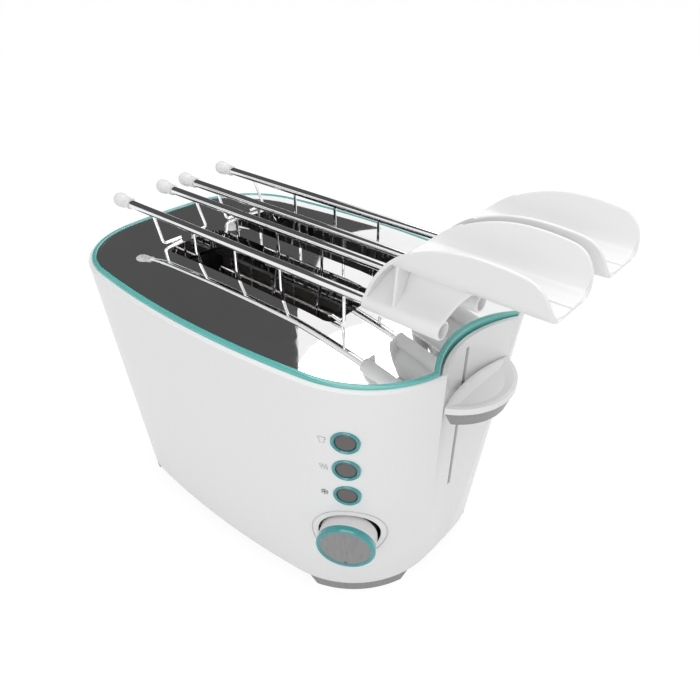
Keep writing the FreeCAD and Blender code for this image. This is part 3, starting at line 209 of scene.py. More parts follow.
def wound_copper():
    finish = Finish("wound_copper", 0.35, metallic=0.8)
    turns = finish.node("ShaderNodeTexWave", bands_direction="Z")
    turns.inputs["Scale"].default_value = 500.0
    turns.inputs["Distortion"].default_value = 0.4
    finish.join(finish.place, turns.inputs["Vector"])
    # Painted shade: the colour is darkened in the gaps between the wire's turns, where shade falls; the
    # lacquer stop is the copper's own colour.
    between = (0.0, (0.16, 0.05, 0.02))
    lacquer = (0.8, (0.60, 0.24, 0.10))
    finish.colour(finish.ramp(turns.outputs["Fac"], between, lacquer))
    return finish.bump(turns.outputs["Fac"], depth=0.0002).material


def circuit_green():
    finish = Finish("circuit_green", 0.35)
    tracks = finish.node("ShaderNodeTexBrick")
    tracks.inputs["Scale"].default_value = 160.0
    tracks.inputs["Color1"].default_value = (0.012, 0.09, 0.035, 1)
    tracks.inputs["Color2"].default_value = (0.018, 0.12, 0.05, 1)
    tracks.inputs["Mortar"].default_value = (0.05, 0.22, 0.10, 1)
    finish.join(finish.place, tracks.inputs["Vector"])
    finish.colour(tracks.outputs["Color"])
    return finish.bump(finish.noise(600.0, 2.0), depth=0.00002).material


def teal_moulding(name, colour, coat):
    """Tinted glossy plastic with a little depth."""
    finish = Finish(name, 0.12, coat=coat)
    finish.clouded(finish.noise(22.0, 4.0), colour, 0.9, 1.1)
    finish.shader.inputs["Subsurface Weight"].default_value = 0.15
    finish.shader.inputs["Subsurface Radius"].default_value = (0.2, 1.0, 0.9)
    finish.shader.inputs["Subsurface Scale"].default_value = 0.002
    return finish.bump(finish.noise(700.0, 2.0), depth=0.00001).material


def rubber(name, colour):
    finish = Finish(name, 0.7)
    finish.clouded(finish.noise(120.0, 6.0), colour, 0.8, 1.3)
    return finish.bump(finish.noise(1500.0, 3.0), depth=0.00005).material


ALONG_X = (0.02, 1.0, 1.0)
ALONG_Z = (1.0, 1.0, 0.03)
DIAL_GRAIN = (1.0, 1.0, 0.05)
finishes = {
    "white_shell": moulded("shell_white", (0.80, 0.80, 0.805), 0.26, spread=0.004),
    "handle_white": moulded("grip_white", (0.82, 0.82, 0.82), 0.30, spread=0.004),
    "cap_white": moulded("tip_white", (0.78, 0.78, 0.78), 0.25),
    "knob_white": moulded("skirt_white", (0.72, 0.70, 0.70), 0.22),
    "teal_trim": teal_moulding("rim_teal", (0.10, 0.46, 0.42), coat=1.0),
    "teal_bezel": teal_moulding("bezel_teal", (0.02, 0.30, 0.31), coat=0.5),
    "mirror_plate": polished("mirror_plate", (0.88, 0.88, 0.88), 0.03),
    "jaw_chrome": polished("jaw_chrome", (0.85, 0.85, 0.86), 0.06),
    "base_black": moulded("base_black", (0.03, 0.03, 0.032), 0.5, grain=500.0, depth=0.00008),
    "screw_steel": brushed("screw_steel", (0.55, 0.55, 0.56), 0.3, ALONG_Z, scale=60.0),
    "bush_rubber": rubber("bush_rubber", (0.02, 0.02, 0.02)),
    "silver_trim": brushed("satin_silver", (0.28, 0.28, 0.28), 0.35, ALONG_Z, scale=900.0, metallic=0.75),
    "pad_rubber": rubber("pad_rubber", (0.025, 0.025, 0.025)),
    "tray_white": moulded("tray_white", (0.76, 0.76, 0.765), 0.3),
    "chamber_steel": brushed("chamber_steel", (0.14, 0.14, 0.14), 0.38, ALONG_Z, scale=300.0),
    "mica": mica_sheet(),
    "ribbon": heated_ribbon(),
    "wire_steel": brushed("bright_wire", (0.55, 0.55, 0.55), 0.28, ALONG_X, scale=500.0),
    "yoke_iron": brushed("yoke_iron", (0.22, 0.22, 0.23), 0.5, ALONG_Z, scale=200.0),
    "coil_copper": wound_copper(),
    "button_grey": moulded("button_grey", (0.115, 0.10, 0.095), 0.35, grain=1400.0, depth=0.00004),
    "board_green": circuit_green(),
    "sensor_grey": moulded("sensor_grey", (0.08, 0.08, 0.09), 0.45),
    "knob_grey": brushed("dial_grey", (0.26, 0.26, 0.26), 0.36, DIAL_GRAIN, scale=700.0, metallic=0.55),
    "pin_steel": brushed("pin_steel", (0.6, 0.6, 0.6), 0.2, ALONG_X, scale=300.0),
}


def dress_nodes():
    slot_of = {part["node"]: part["material_slot"] for part in frame["record"]["subparts"]}
    for name, node in nodes.items():
        node.data.materials.clear()
        node.data.materials.append(finishes[slot_of[name]])


# New pieces
SHARP_EDGE = math.radians(48)
ROUNDED_EDGE = math.radians(35)
ROUNDING_SEGMENTS = 3


def new_piece(name, mesh, slot_name, body, replaced=()):
    """Puts a mesh in the scene, with its finish, its body and the solids that it stands for."""
    made = bpy.data.objects.new(name, mesh)
    scene.collection.objects.link(made)
    made.data.materials.append(finishes[slot_name])
    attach(made, body)
    if replaced:
        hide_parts(*replaced)


def shaped(bm, thickness=0.0, offset=0.0, rounding=0.0, levels=0):
    """The bmesh's mesh with wall thickness, rounded edges and smoothing worked in."""
    mesh = bpy.data.meshes.new("blank")
    bm.to_mesh(mesh)
    bm.free()
    blank = bpy.data.objects.new("blank", mesh)
    scene.collection.objects.link(blank)
    if thickness:
        wall = blank.modifiers.new("wall", "SOLIDIFY")
        wall.thickness = thickness
        wall.offset = offset
    if rounding:
        edge = blank.modifiers.new("edge", "BEVEL")
        edge.width = rounding
        edge.segments = ROUNDING_SEGMENTS
        edge.limit_method = "ANGLE"
        edge.angle_limit = ROUNDED_EDGE
    if levels:
        smooth = blank.modifiers.new("smooth", "SUBSURF")
        smooth.levels = levels
        smooth.render_levels = levels
    finished = evaluated_mesh(blank)
    bpy.data.objects.remove(blank)
    bpy.data.meshes.remove(mesh)
    return finished


def evaluated_mesh(made):
    depsgraph = bpy.context.evaluated_depsgraph_get()
    return bpy.data.meshes.new_from_object(made.evaluated_get(depsgraph))


def joined(meshes, transform=None, mirrored=False):
    """One mesh of several, placed, with its faces turned outwards and its curves shaded smooth."""
    bm = bmesh.new()
    for mesh in meshes:
        bm.from_mesh(mesh)
        bpy.data.meshes.remove(mesh)
    if transform:
        bmesh.ops.transform(bm, matrix=transform, verts=bm.verts)
    if mirrored:
        bmesh.ops.reverse_faces(bm, faces=bm.faces)
    for face in bm.faces:
        face.smooth = True
    for edge in bm.edges:
        edge.smooth = edge.calc_face_angle(0.0) < SHARP_EDGE
    mesh = bpy.data.meshes.new("piece")
    bm.to_mesh(mesh)
    bm.free()
    return mesh


def swept_grid(columns):
    """Sheet through columns of points: one edge chain, extruded from column to column."""
    bm = bmesh.new()
    row = [bm.verts.new(point) for point in columns[0]]
    edges = [bm.edges.new(pair) for pair in zip(row, row[1:])]
    for column in columns[1:]:
        grown = bmesh.ops.extrude_edge_only(bm, edges=edges)["geom"]
        fresh = [part for part in grown if isinstance(part, bmesh.types.BMVert)]
        fresh.sort(key=lambda vert: min(range(len(row)), key=lambda k: (vert.co - row[k].co).length))
        for vert, point in zip(fresh, column):
            vert.co = point
        row = fresh
        edges = [bm.edges.get(pair) for pair in zip(row, row[1:])]
    return bm


# Grips of the tongs, drawn for one half in millimetres: X along the grip, and the spread
# away from the tong's middle plane
MM = 0.001
MERGE = 0.001 * MM
TONG_PITCH = 55.8
ROD_SPREAD = 17.8
ROD_Z = 207.0
ROD_RADIUS = 2.8
TUBE_RADIUS = 5.2
TUBE_ENDS = (97.6, 145.3)
TUBE_LIP = 0.7
TUBE_LIP_MIDDLE = 0.2
BORE_PLAY = 0.03
MOUTH_STEP = 1.1
MOUTH_DEPTH = 5.5
TROUGH_Z = 230.0
TROUGH_END_X = 199.0
TROUGH_HALF_WIDTH = 20.2
SHEET = 2.0
BEND_RADIUS = 8.0
SEAM = 0.35
PETAL_LEAN = 0.18
PETAL_TOP_X = 165.0
PETAL_TOP_Z = 253.2
OUTLINE_LOW_Z = 201.0
OUTLINE_LENGTH = 67.9
SHOULDER_X = 185.0
SHOULDER_Z = 251.7
SHOULDER_FALL = 0.16
NOSE_LOW_Z = 231.2
NOSE_ROUND = 2.6
WEB_SHEET = 1.7
WEB_TOP = (7.0, TROUGH_Z + 0.6)
WEB_PULLS = ((6.5, 221.0), (13.5, 214.8))
WEB_ARCH = 20.7
HOOD_INNER_SPREAD = 7.5
HOOD_TOP_Z = 244.0
HOOD_LOW_Z = ROD_Z - 3.0
HOOD_FLARE = 2.4
HOOD_FLARE_POWER = 1.6
HOOD_LEAST_WIDTH = 0.6
RIB_X = 116.5
RIB_THICKNESS = 1.6
RIB_ROUNDING = 0.35
RIB_CORNERS = ((WEB_TOP[0], TROUGH_Z + 0.8), (TROUGH_HALF_WIDTH - 3.0, TROUGH_Z + 2.5),
               (TROUGH_HALF_WIDTH - 1.0, TROUGH_Z + 3.0),
               (ROD_SPREAD + TUBE_RADIUS - 1.6, ROD_Z + 3.5), (ROD_SPREAD, ROD_Z + 2.0))
PIN_Z = 226.6
PIN_RADIUS = 1.25
KNUCKLE_RADIUS = 2.7
KNUCKLE_ROUNDING = 0.4
KNUCKLE_LENGTH = 7.0
KNUCKLE_STEP = 7.4
KNUCKLE_FIRST_X = 118.5
KNUCKLE_LAST_X = 154.5
KNUCKLE_ROOT = (SEAM + 0.3, KNUCKLE_RADIUS + 1.5, PIN_Z + KNUCKLE_RADIUS - 1.0, TROUGH_Z + 0.5)

# Places of the sheets' rows
TROUGH_START_RISE = 0.6
TROUGH_START_ROWS = (0.0, 0.9, 3.0)
TROUGH_MIDDLE_ROWS = 16
NOSE_ROWS = (188.5, 191.5, 194.0, 196.0, 197.4, 198.3, TROUGH_END_X)
TROUGH_STEPS = 13
SEAM_ROW = 0.8
RIM_ROW = 1.4
HOOD_ROWS = 18
HOOD_SHARES = (0.0, 0.5, 0.9, 1.0)
WEB_COLUMNS = 22
WEB_ROWS = 12

# The trough's section: a flat floor, a bend and a leaning petal
BEND_LEAN = math.atan(PETAL_LEAN)
BEND_Z = TROUGH_Z + SHEET / 2 + BEND_RADIUS
BEND_SPREAD = (TROUGH_HALF_WIDTH - SHEET / 2 + PETAL_LEAN * (BEND_Z - TROUGH_Z)
               - BEND_RADIUS / math.cos(BEND_LEAN))
BEND_END_Z = BEND_Z - BEND_RADIUS * math.sin(BEND_LEAN)
BEND_LOW_Z = TROUGH_Z + SHEET / 2 + 0.05
FLOOR_RUN = BEND_SPREAD - SEAM
BEND_RUN = BEND_RADIUS * (math.pi / 2 - BEND_LEAN)


def outline_height(x):
    """Height of the petal's rim above a place along the grip."""
    if x <= PETAL_TOP_X:
        share = max(0.0, 1 - ((x - PETAL_TOP_X) / OUTLINE_LENGTH) ** 2)
        return OUTLINE_LOW_Z + (PETAL_TOP_Z - OUTLINE_LOW_Z) * math.sqrt(share)
    if x <= SHOULDER_X:
        share = (x - PETAL_TOP_X) / (SHOULDER_X - PETAL_TOP_X)
        return PETAL_TOP_Z - (PETAL_TOP_Z - SHOULDER_Z) * share * share
    share = min(1.0, (x - SHOULDER_X) / (TROUGH_END_X - SHOULDER_X))
    slope_drop = SHOULDER_FALL * (x - SHOULDER_X)
    round_drop = SHOULDER_Z - NOSE_LOW_Z - SHOULDER_FALL * (TROUGH_END_X - SHOULDER_X)
    return SHOULDER_Z - slope_drop - round_drop * (1 - math.sqrt(1 - share ** NOSE_ROUND))


def outline_x(z):
    """Left edge of the outline at a height."""
    share = max(0.0, 1 - ((z - OUTLINE_LOW_Z) / (PETAL_TOP_Z - OUTLINE_LOW_Z)) ** 2)
    return PETAL_TOP_X - OUTLINE_LENGTH * math.sqrt(share)


def trough_point(run):
    """Spread and height of a point at a run from the seam along the trough's section."""
    if run <= FLOOR_RUN:
        return SEAM + run, TROUGH_Z + SHEET / 2
    if run <= FLOOR_RUN + BEND_RUN:
        turn = (run - FLOOR_RUN) / BEND_RADIUS
        return BEND_SPREAD + BEND_RADIUS * math.sin(turn), BEND_Z - BEND_RADIUS * math.cos(turn)
    rise = run - FLOOR_RUN - BEND_RUN
    return (BEND_SPREAD + BEND_RADIUS * math.cos(BEND_LEAN) + rise * math.sin(BEND_LEAN),
            BEND_END_Z + rise * math.cos(BEND_LEAN))


def run_to_height(z):
    """Run from the seam at which the trough's section reaches a height."""
    if z >= BEND_END_Z:
        return FLOOR_RUN + BEND_RUN + (z - BEND_END_Z) / math.cos(BEND_LEAN)
    return FLOOR_RUN + BEND_RADIUS * math.acos((BEND_Z - max(z, BEND_LOW_Z)) / BEND_RADIUS)


def trough_sheet():
    """Half of the trough with its petal, as one bent sheet."""
    start_x = outline_x(TROUGH_Z + SHEET / 2 + TROUGH_START_RISE)
    places = [start_x + step for step in TROUGH_START_ROWS]
    middle = SHOULDER_X - places[-1]
    places += [places[-1] + middle * k / TROUGH_MIDDLE_ROWS for k in range(1, TROUGH_MIDDLE_ROWS + 1)]
    places += NOSE_ROWS
    columns = []
    for x in places:
        reach = run_to_height(outline_height(x))
        inner = reach - SEAM_ROW - RIM_ROW
        runs = [0.0, SEAM_ROW]
        runs += [SEAM_ROW + inner * k / TROUGH_STEPS for k in range(1, TROUGH_STEPS + 1)] + [reach]
        columns.append([Vector((x, *trough_point(run))) * MM for run in runs])
    return shaped(swept_grid(columns), thickness=SHEET * MM, levels=2)


def hood_strip():
    """Turned edge that carries the petal's rim down to the left end of the tube."""
    columns = []
    for k in range(HOOD_ROWS + 1):
        z = HOOD_TOP_Z + (HOOD_LOW_Z - HOOD_TOP_Z) * k / HOOD_ROWS
        if z < TROUGH_Z:
            fall = (TROUGH_Z - z) / (TROUGH_Z - ROD_Z)
            outer = TROUGH_HALF_WIDTH + HOOD_FLARE * fall ** HOOD_FLARE_POWER
        else:
            outer = TROUGH_HALF_WIDTH + PETAL_LEAN * (z - TROUGH_Z)
        inner = HOOD_INNER_SPREAD
        if z > TROUGH_Z:
            inner = min(outer - HOOD_LEAST_WIDTH, max(inner, trough_point(run_to_height(z))[0]))
        x = outline_x(z) + SHEET * 0.5
        columns.append([Vector((x, inner + (outer - inner) * share, z)) * MM for share in HOOD_SHARES])
    return shaped(swept_grid(columns), thickness=SHEET * MM, levels=2)


def bezier(points, t):
    """Point on a cubic curve from two ends and two pulls."""
    a, b, c, d = (Vector(point) for point in points)
    u = 1 - t
    return a * u ** 3 + b * (3 * u * u * t) + c * (3 * u * t * t) + d * t ** 3


def web_sheet():
    """Hollowed web from the tube's outer side up to the underside of the trough."""
    reach = (TUBE_RADIUS - WEB_SHEET / 2) * math.sqrt(0.5)
    section = (WEB_TOP, *WEB_PULLS, (ROD_SPREAD + reach, ROD_Z + reach))
    columns = []
    for k in range(WEB_COLUMNS + 1):
        column = []
        for row in range(WEB_ROWS + 1):
            spread, z = bezier(section, row / WEB_ROWS)
            rise = min(1.0, (z - ROD_Z) / (TROUGH_Z - ROD_Z))
            left = outline_x(z) + SHEET * 0.6
            right = TUBE_ENDS[1] + WEB_ARCH * (1 - math.sqrt(1 - rise * rise))
            column.append(Vector((left + (right - left) * k / WEB_COLUMNS, spread, z)) * MM)
        columns.append(column)
    return shaped(swept_grid(columns), thickness=WEB_SHEET * MM, levels=1)


def lathe_x(profile, centre_y, centre_z, steps):
    """Ring turned about an axis along X from a closed profile of (x, radius) points."""
    bm = bmesh.new()
    verts = [bm.verts.new((x * MM, centre_y * MM, (centre_z + radius) * MM)) for x, radius in profile]
    edges = [bm.edges.new(pair) for pair in zip(verts, verts[1:] + verts[:1])]
    bmesh.ops.spin(bm, geom=verts + edges, cent=(0, centre_y * MM, centre_z * MM), axis=(1, 0, 0),
                   angle=math.tau, steps=steps, use_merge=True)
    bmesh.ops.remove_doubles(bm, verts=bm.verts, dist=MERGE)
    bmesh.ops.recalc_face_normals(bm, faces=bm.faces)
    return bm


def rod_tube():
    """Tube that holds the rod, with rounded ends and a wider mouth at the right."""
    left, right = TUBE_ENDS
    bore = ROD_RADIUS + BORE_PLAY
    mouth = ROD_RADIUS + MOUTH_STEP
    low = TUBE_RADIUS - TUBE_LIP
    middle = TUBE_RADIUS - TUBE_LIP_MIDDLE
    profile = [(left, bore), (left, low), (left + TUBE_LIP_MIDDLE, middle),
               (left + TUBE_LIP, TUBE_RADIUS), (right - TUBE_LIP, TUBE_RADIUS),
               (right - TUBE_LIP_MIDDLE, middle), (right, low), (right, mouth),
               (right - MOUTH_DEPTH, mouth), (right - MOUTH_DEPTH, bore)]
    return shaped(lathe_x(profile, ROD_SPREAD, ROD_Z, steps=48))


def prism(corners, low, high):
    """Block with a drawn end face of (spread, height) corners, between two places along X."""
    bm = bmesh.new()
    face = bm.faces.new([bm.verts.new((low * MM, y * MM, z * MM)) for y, z in corners])
    grown = bmesh.ops.extrude_face_region(bm, geom=[face])["geom"]
    bmesh.ops.translate(bm, verts=[part for part in grown if isinstance(part, bmesh.types.BMVert)],
                        vec=((high - low) * MM, 0, 0))
    bmesh.ops.recalc_face_normals(bm, faces=bm.faces)
    return bm


def rib():
    return shaped(prism(RIB_CORNERS, RIB_X, RIB_X + RIB_THICKNESS), rounding=RIB_ROUNDING * MM)


def knuckles(half):
    """The half's two hinge knuckles, each with its root in the trough's floor."""
    meshes = []
    shift = 0.0 if half < 0 else KNUCKLE_STEP
    low = KNUCKLE_RADIUS - KNUCKLE_ROUNDING
    inner, outer, root_low, root_high = KNUCKLE_ROOT
    root = [(inner, root_low), (outer, root_low), (outer, root_high), (inner, root_high)]
    for x in (KNUCKLE_FIRST_X + shift, KNUCKLE_LAST_X + shift - KNUCKLE_STEP):
        end = x + KNUCKLE_LENGTH
        profile = [(x, PIN_RADIUS), (x, low), (x + KNUCKLE_ROUNDING, KNUCKLE_RADIUS),
                   (end - KNUCKLE_ROUNDING, KNUCKLE_RADIUS), (end, low), (end, PIN_RADIUS)]
        meshes.append(shaped(lathe_x(profile, 0.0, PIN_Z, steps=32)))
        meshes.append(shaped(prism(root, x, end)))
    return meshes


def make_grips():
    for tong, side in (("front_tong", -1), ("rear_tong", 1)):
        for face, half in (("front", -1), ("rear", 1)):
            meshes = [trough_sheet(), hood_strip(), web_sheet(), rod_tube(), rib()] + knuckles(half)
            place = Matrix.Translation((0, side * TONG_PITCH / 2 * MM, 0))
            mesh = joined(meshes, place @ Matrix.Scale(half, 4, (0, 1, 0)), mirrored=half < 0)
            name = f"{tong}_{face}"
            new_piece(name + "_grip", mesh, "handle_white", name + "_half", (name + "_handle",))


# Rim: a rounded teal ring on the outer part of its seat, and the plate's margin on the inner
# part. A section's points are a share of the way from the seat's outer to its inner edge and
# a rise in metres.
SEAT_MERGE = 0.000005
TOP_FACE_RISE = 0.7
WALL_FACE_RISE = 0.4
RING_FOOT_Z = 0.1740
RING_SECTION = ((0.0, -0.0006), (0.04, -0.0002), (0.12, 0.0), (0.32, 0.0002), (0.52, 0.0),
                (0.61, -0.0002), (0.65, -0.0006))
MARGIN_SECTION = ((0.63, -0.00068), (0.88, -0.00068), (1.13, -0.00068))
MARGIN_SHEET = 0.0001


def seat_edges():
    """The outer and the inner top edge of the ring's seat, each as places in order."""
    bm = bmesh.new()
    bm.from_mesh(nodes["rim_ring"].data)
    bmesh.ops.remove_doubles(bm, verts=bm.verts, dist=SEAT_MERGE)
    bm.normal_update()
    links = {}
    for edge in bm.edges:
        rises = sorted(face.normal.z for face in edge.link_faces)
        if len(rises) == 2 and rises[1] > TOP_FACE_RISE and abs(rises[0]) < WALL_FACE_RISE:
            first, second = edge.verts
            links.setdefault(first, []).append(second)
            links.setdefault(second, []).append(first)
    loops = []
    seen = set()
    for start in links:
        walk = []
        here = start if start not in seen else None
        while here:
            seen.add(here)
            walk.append(here.co.copy())
            here = next((vert for vert in links[here] if vert not in seen), None)
        if walk:
            loops.append(walk)
    bm.free()
    loops.sort(key=lambda loop: max(place.x for place in loop) - min(place.x for place in loop))
    return loops[-1], loops[-2]


def nearest_on(loop, place):
    """Nearest point to a place on a closed line."""
    best = None
    for start, end in zip(loop, loop[1:] + loop[:1]):
        run = end - start
        share = (place - start).dot(run) / run.length_squared
        spot = start + run * min(1.0, max(0.0, share))
        gap = (spot - place).length
        if best is None or gap < best[0]:
            best = (gap, spot)
    return best[1]


def section_at(outer, inner, section):
    return [outer + (inner - outer) * share + Vector((0, 0, rise)) for share, rise in section]


def closed_sweep(columns):
    """Sheet through columns of points that comes back to its first column."""
    bm = swept_grid(columns + columns[:1])
    bmesh.ops.remove_doubles(bm, verts=bm.verts, dist=MERGE)
    bmesh.ops.recalc_face_normals(bm, faces=bm.faces)
    return bm


def make_rim():
    outer_edge, inner_edge = seat_edges()
    ring = []
    margin = []
    for outer in outer_edge:
        inner = nearest_on(inner_edge, outer)
        column = section_at(outer, inner, RING_SECTION)
        feet = [Vector((place.x, place.y, RING_FOOT_Z)) for place in (column[0], column[-1])]
        ring.append([feet[0]] + column + [feet[1]])
        margin.append(section_at(outer, inner, MARGIN_SECTION))
    bm = closed_sweep(ring)
    bmesh.ops.bridge_loops(bm, edges=[edge for edge in bm.edges if edge.is_boundary])
    bmesh.ops.recalc_face_normals(bm, faces=bm.faces)
    new_piece("teal_ring", joined([shaped(bm)]), "teal_trim", "housing", ("rim_ring",))
    bm = closed_sweep(margin)
    if sum(face.normal.z for face in bm.faces) < 0:
        bmesh.ops.reverse_faces(bm, faces=bm.faces)
    mesh = joined([shaped(bm, thickness=MARGIN_SHEET, offset=-1.0)])
    new_piece("plate_margin", mesh, "mirror_plate", "housing", ("rim_ring",))


# Printed signs beside the buttons, in millimetres: a slice, rising heat and a snowflake. Each
# has its place on the wall and the centre that the wall's corner turns about there.
SIGN_STROKE = 0.1
SIGN_SHIFT = -1.7
SIGN_LIFT = 0.05
SIGN_PLACES = {"slice": ((102.3, -85.3, 140.0), (78.8, -24.8)),
               "heat": ((101.7, -83.6, 119.0), (76.7, -23.5)),
               "snow": ((100.5, -81.9, 97.7), (74.6, -22.2))}
WALL_RADIUS = 65.0
WALL_UP = Vector((0.0488, -0.0945, 0.9943))
SLICE_HALF = 1.5
SLICE_LOW = -2.1
CROWN_Y = 1.3
CROWN_RADIUS = 0.8
CROWN_STEPS = 8
HEAT_HALF = 2.0
HEAT_SWAY = 0.55
HEAT_PITCH = 1.7
HEAT_STEPS = 12
SNOW_ARM = 2.2
SNOW_FORK = 1.35
SNOW_TIP = (2.1, 0.7)


def crown_arc(x, first, last):
    """Rounded shoulder of the slice, between two angles in degrees."""
    angles = [math.radians(first + (last - first) * k / CROWN_STEPS) for k in range(CROWN_STEPS + 1)]
    return [(x + CROWN_RADIUS * math.cos(turn), CROWN_Y + CROWN_RADIUS * math.sin(turn)) for turn in angles]


def slice_strokes():
    foot_left = (-SLICE_HALF, SLICE_LOW)
    foot_right = (SLICE_HALF, SLICE_LOW)
    crown = crown_arc(-SLICE_HALF, 270, 60) + crown_arc(SLICE_HALF, 120, -90)
    return [[foot_left] + crown + [foot_right, foot_left]]


def heat_strokes():
    wave = []
    for k in range(HEAT_STEPS + 1):
        share = k / HEAT_STEPS
        wave.append((HEAT_SWAY * math.sin(math.tau * share), HEAT_HALF * (2 * share - 1)))
    return [[(x + shift, y) for x, y in wave] for shift in (-HEAT_PITCH, 0.0, HEAT_PITCH)]


def snow_strokes():
    strokes = []
    for k in range(3):
        turn = math.pi * k / 3 + math.pi / 2
        arm = Vector((math.cos(turn), math.sin(turn)))
        side = Vector((-arm.y, arm.x))
        strokes.append([-arm * SNOW_ARM, arm * SNOW_ARM])
        for end in (-1, 1):
            for lean in (-1, 1):
                tip = arm * (SNOW_TIP[0] * end) + side * (SNOW_TIP[1] * lean)
                strokes.append([arm * (SNOW_FORK * end), tip])
    return strokes


def drawn_sign(strokes, place, corner):
    """The strokes as thin wire laid on the wall, which curves about its corner's centre."""
    out = Vector((place[0] - corner[0], place[1] - corner[1], 0.0)).normalized()
    across = Vector((-out.y, out.x, 0.0))
    facing = across.cross(WALL_UP).normalized()
    if facing.dot(out) < 0:
        facing = -facing
    curve = bpy.data.curves.new("sign", "CURVE")
    curve.dimensions = "3D"
    curve.bevel_depth = SIGN_STROKE * MM
    curve.bevel_resolution = 1
    for stroke in strokes:
        line = curve.splines.new("POLY")
        line.points.add(len(stroke) - 1)
        for point, (u, v) in zip(line.points, stroke):
            along = u + SIGN_SHIFT
            sag = along * along / (2 * WALL_RADIUS) - SIGN_LIFT
            spot = Vector(place) + across * along + WALL_UP * v - facing * sag
            point.co = (*(spot * MM), 1.0)
    drawn = bpy.data.objects.new("sign", curve)
    scene.collection.objects.link(drawn)
    mesh = evaluated_mesh(drawn)
    bpy.data.objects.remove(drawn)
    return joined([mesh])


def make_signs():
    strokes_of = {"slice": slice_strokes(), "heat": heat_strokes(), "snow": snow_strokes()}
    for kind, strokes in strokes_of.items():
        new_piece("sign_" + kind, drawn_sign(strokes, *SIGN_PLACES[kind]), "sensor_grey", "housing")


# Springs wound from wire
COIL_STEPS = 20
WIRE_SIDES = 8
RETURN_WIRE = 0.00045
RETURN_TURNS = 22
TORSION_WIRE = 0.0004
TORSION_TURNS = 14


def coil(name, node_name, body, axis, wire, turns):
    """Wound spring that fills its node's tube; axis is 0 for X and 2 for Z."""
    low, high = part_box(node_name)
    radius = (high[1] - low[1]) / 2 - wire
    start = (low + high) / 2
    start[axis] = low[axis] + wire
    length = high[axis] - low[axis] - 2 * wire
    along = Vector((1.0, 0, 0)) if axis == 0 else Vector((0, 0, 1.0))
    reach = Vector((0, 0, radius)) if axis == 0 else Vector((radius, 0, 0))
    bm = bmesh.new()
    ring = bmesh.ops.create_circle(bm, cap_ends=True, radius=wire, segments=WIRE_SIDES)["verts"]
    bmesh.ops.rotate(bm, verts=ring, cent=(0, 0, 0), matrix=Matrix.Rotation(math.pi / 2, 3, "X"))
    bmesh.ops.translate(bm, verts=ring, vec=start + reach)
    steps = turns * COIL_STEPS
    bmesh.ops.spin(bm, geom=bm.faces[:], cent=start, axis=along, dvec=along * (length / steps),
                   angle=math.tau * turns, steps=steps, use_merge=False)
    bmesh.ops.recalc_face_normals(bm, faces=bm.faces)
    new_piece(name, joined([shaped(bm)]), "wire_steel", body, (node_name,))


def make_springs():
    coil("carriage_return_spring", "lift_spring", "housing", 2, RETURN_WIRE, RETURN_TURNS)
    for tong in ("front_tong", "rear_tong"):
        coil(tong + "_torsion_spring", tong + "_spring", tong + "_pivot", 0, TORSION_WIRE, TORSION_TURNS)


# Studio
FLOOR_HALF = 6.0
FLOOR_Z = -0.0002
FLOOR_COLOUR = (0.80, 0.80, 0.80)
FLOOR_SEEN = 1.07
FLOOR_SEEN_SHARE = 0.86
WORLD_LIGHT = 0.66
WORLD_SEEN = 1.0
LAMP_TARGET = Vector((0.0, 0.0, 0.1))
LAMPS = (("top_softbox", Vector((0.1, 0.3, 1.3)), (1.6, 1.2), 9.0),
         ("front_softbox", Vector((0.7, -1.2, 0.7)), (1.0, 0.8), 5.0))

# Dark card that only the metal sees: the left of the plate mirrors it and the right stays white
CARD_HEIGHT = 1.2
CARD_EDGE = (Vector((-0.842, 0.633, CARD_HEIGHT)), Vector((-0.581, 0.224, CARD_HEIGHT)))
CARD_RUN = (18.0, 0.9)
CARD_DEPTH = 22.0
CARD_LEVEL = 0.09


def studio_sheet(name, bm):
    mesh = bpy.data.meshes.new(name)
    bm.to_mesh(mesh)
    bm.free()
    made = bpy.data.objects.new(name, mesh)
    scene.collection.objects.link(made)
    return made


def backdrop_finish():
    """Matt studio surface that the camera and mirrors see at its own level."""
    finish = Finish("studio_white", 0.9)
    finish.shader.inputs["Specular IOR Level"].default_value = 0.0
    finish.clouded(finish.noise(3.0, 3.0), FLOOR_COLOUR, 0.99, 1.0)
    glow = finish.node("ShaderNodeEmission")
    glow.inputs["Color"].default_value = (1, 1, 1, 1)
    glow.inputs["Strength"].default_value = FLOOR_SEEN
    rays = finish.node("ShaderNodeLightPath")
    either = finish.node("ShaderNodeMath", operation="MAXIMUM")
    finish.join(rays.outputs["Is Camera Ray"], either.inputs[0])
    finish.join(rays.outputs["Is Glossy Ray"], either.inputs[1])
    share = finish.node("ShaderNodeMath", operation="MULTIPLY")
    share.inputs[1].default_value = FLOOR_SEEN_SHARE
    finish.join(either.outputs["Value"], share.inputs[0])
    mix = finish.node("ShaderNodeMixShader")
    finish.join(share.outputs["Value"], mix.inputs["Fac"])
    finish.join(finish.shader.outputs["BSDF"], mix.inputs[1])
    finish.join(glow.outputs["Emission"], mix.inputs[2])
    finish.join(mix.outputs["Shader"], finish.tree.nodes["Material Output"].inputs["Surface"])
    return finish.material


def make_floor():
    bm = bmesh.new()
    bmesh.ops.create_grid(bm, x_segments=1, y_segments=1, size=FLOOR_HALF)
    bmesh.ops.translate(bm, verts=bm.verts, vec=(0, 0, FLOOR_Z))
    floor = studio_sheet("studio_floor", bm)
    floor.data.materials.append(backdrop_finish())


def card_finish():
    finish = Finish("card_dark", 1.0)
    glow = finish.node("ShaderNodeEmission")
    dim = (NOISE_LOW, (0.95, 0.95, 0.95))
    full = (NOISE_HIGH, (1, 1, 1))
    finish.join(finish.ramp(finish.noise(0.4, 1.0), dim, full), glow.inputs["Color"])
    glow.inputs["Strength"].default_value = CARD_LEVEL
    finish.join(glow.outputs["Emission"], finish.tree.nodes["Material Output"].inputs["Surface"])
    return finish.material


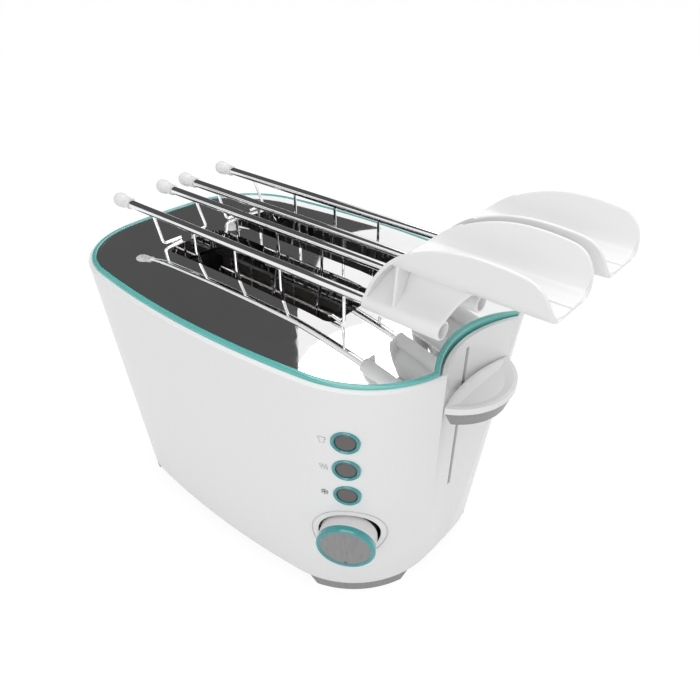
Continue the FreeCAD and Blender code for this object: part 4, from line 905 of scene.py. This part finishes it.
def make_card():
    along = (CARD_EDGE[1] - CARD_EDGE[0]).normalized()
    away = Vector((along.y, -along.x, 0.0))
    length = sum(CARD_RUN)
    centre = CARD_EDGE[1] + along * (CARD_RUN[1] - length / 2) + away * (CARD_DEPTH / 2)
    turn = Matrix(((along.x, away.x, 0, 0), (along.y, away.y, 0, 0), (0, 0, 1, 0), (0, 0, 0, 1)))
    bm = bmesh.new()
    bmesh.ops.create_grid(bm, x_segments=1, y_segments=1, size=0.5)
    bmesh.ops.transform(bm, matrix=Matrix.Diagonal((length, CARD_DEPTH, 1, 1)), verts=bm.verts)
    bmesh.ops.transform(bm, matrix=Matrix.Translation(centre) @ turn, verts=bm.verts)
    card = studio_sheet("dark_card", bm)
    card.data.materials.append(card_finish())
    card.visible_camera = False
    card.visible_diffuse = False
    card.visible_transmission = False
    card.visible_shadow = False


def make_lamps():
    for name, place, size, power in LAMPS:
        data = bpy.data.lights.new(name, "AREA")
        data.shape = "RECTANGLE"
        data.size, data.size_y = size
        data.energy = power
        lamp = bpy.data.objects.new(name, data)
        scene.collection.objects.link(lamp)
        lamp.location = place
        lamp.rotation_mode = "QUATERNION"
        lamp.rotation_quaternion = (LAMP_TARGET - place).to_track_quat("-Z", "Y")


def make_world():
    """Plain soft light, and a white background for the camera, mirrors and glass."""
    world = bpy.data.worlds.new("studio")
    scene.world = world
    world.use_nodes = True
    tree = world.node_tree
    background = tree.nodes["Background"]
    background.inputs["Color"].default_value = (1, 1, 1, 1)
    rays = tree.nodes.new("ShaderNodeLightPath")
    seen = rays.outputs["Is Camera Ray"]
    for name in ("Is Glossy Ray", "Is Transmission Ray"):
        either = tree.nodes.new("ShaderNodeMath")
        either.operation = "MAXIMUM"
        tree.links.new(seen, either.inputs[0])
        tree.links.new(rays.outputs[name], either.inputs[1])
        seen = either.outputs["Value"]
    level = tree.nodes.new("ShaderNodeMapRange")
    level.inputs["To Min"].default_value = WORLD_LIGHT
    level.inputs["To Max"].default_value = WORLD_SEEN
    tree.links.new(seen, level.inputs["Value"])
    tree.links.new(level.outputs["Result"], background.inputs["Strength"])


make_camera()
dress_nodes()
make_grips()
make_rim()
make_signs()
make_springs()
make_floor()
make_world()
make_card()
make_lamps()
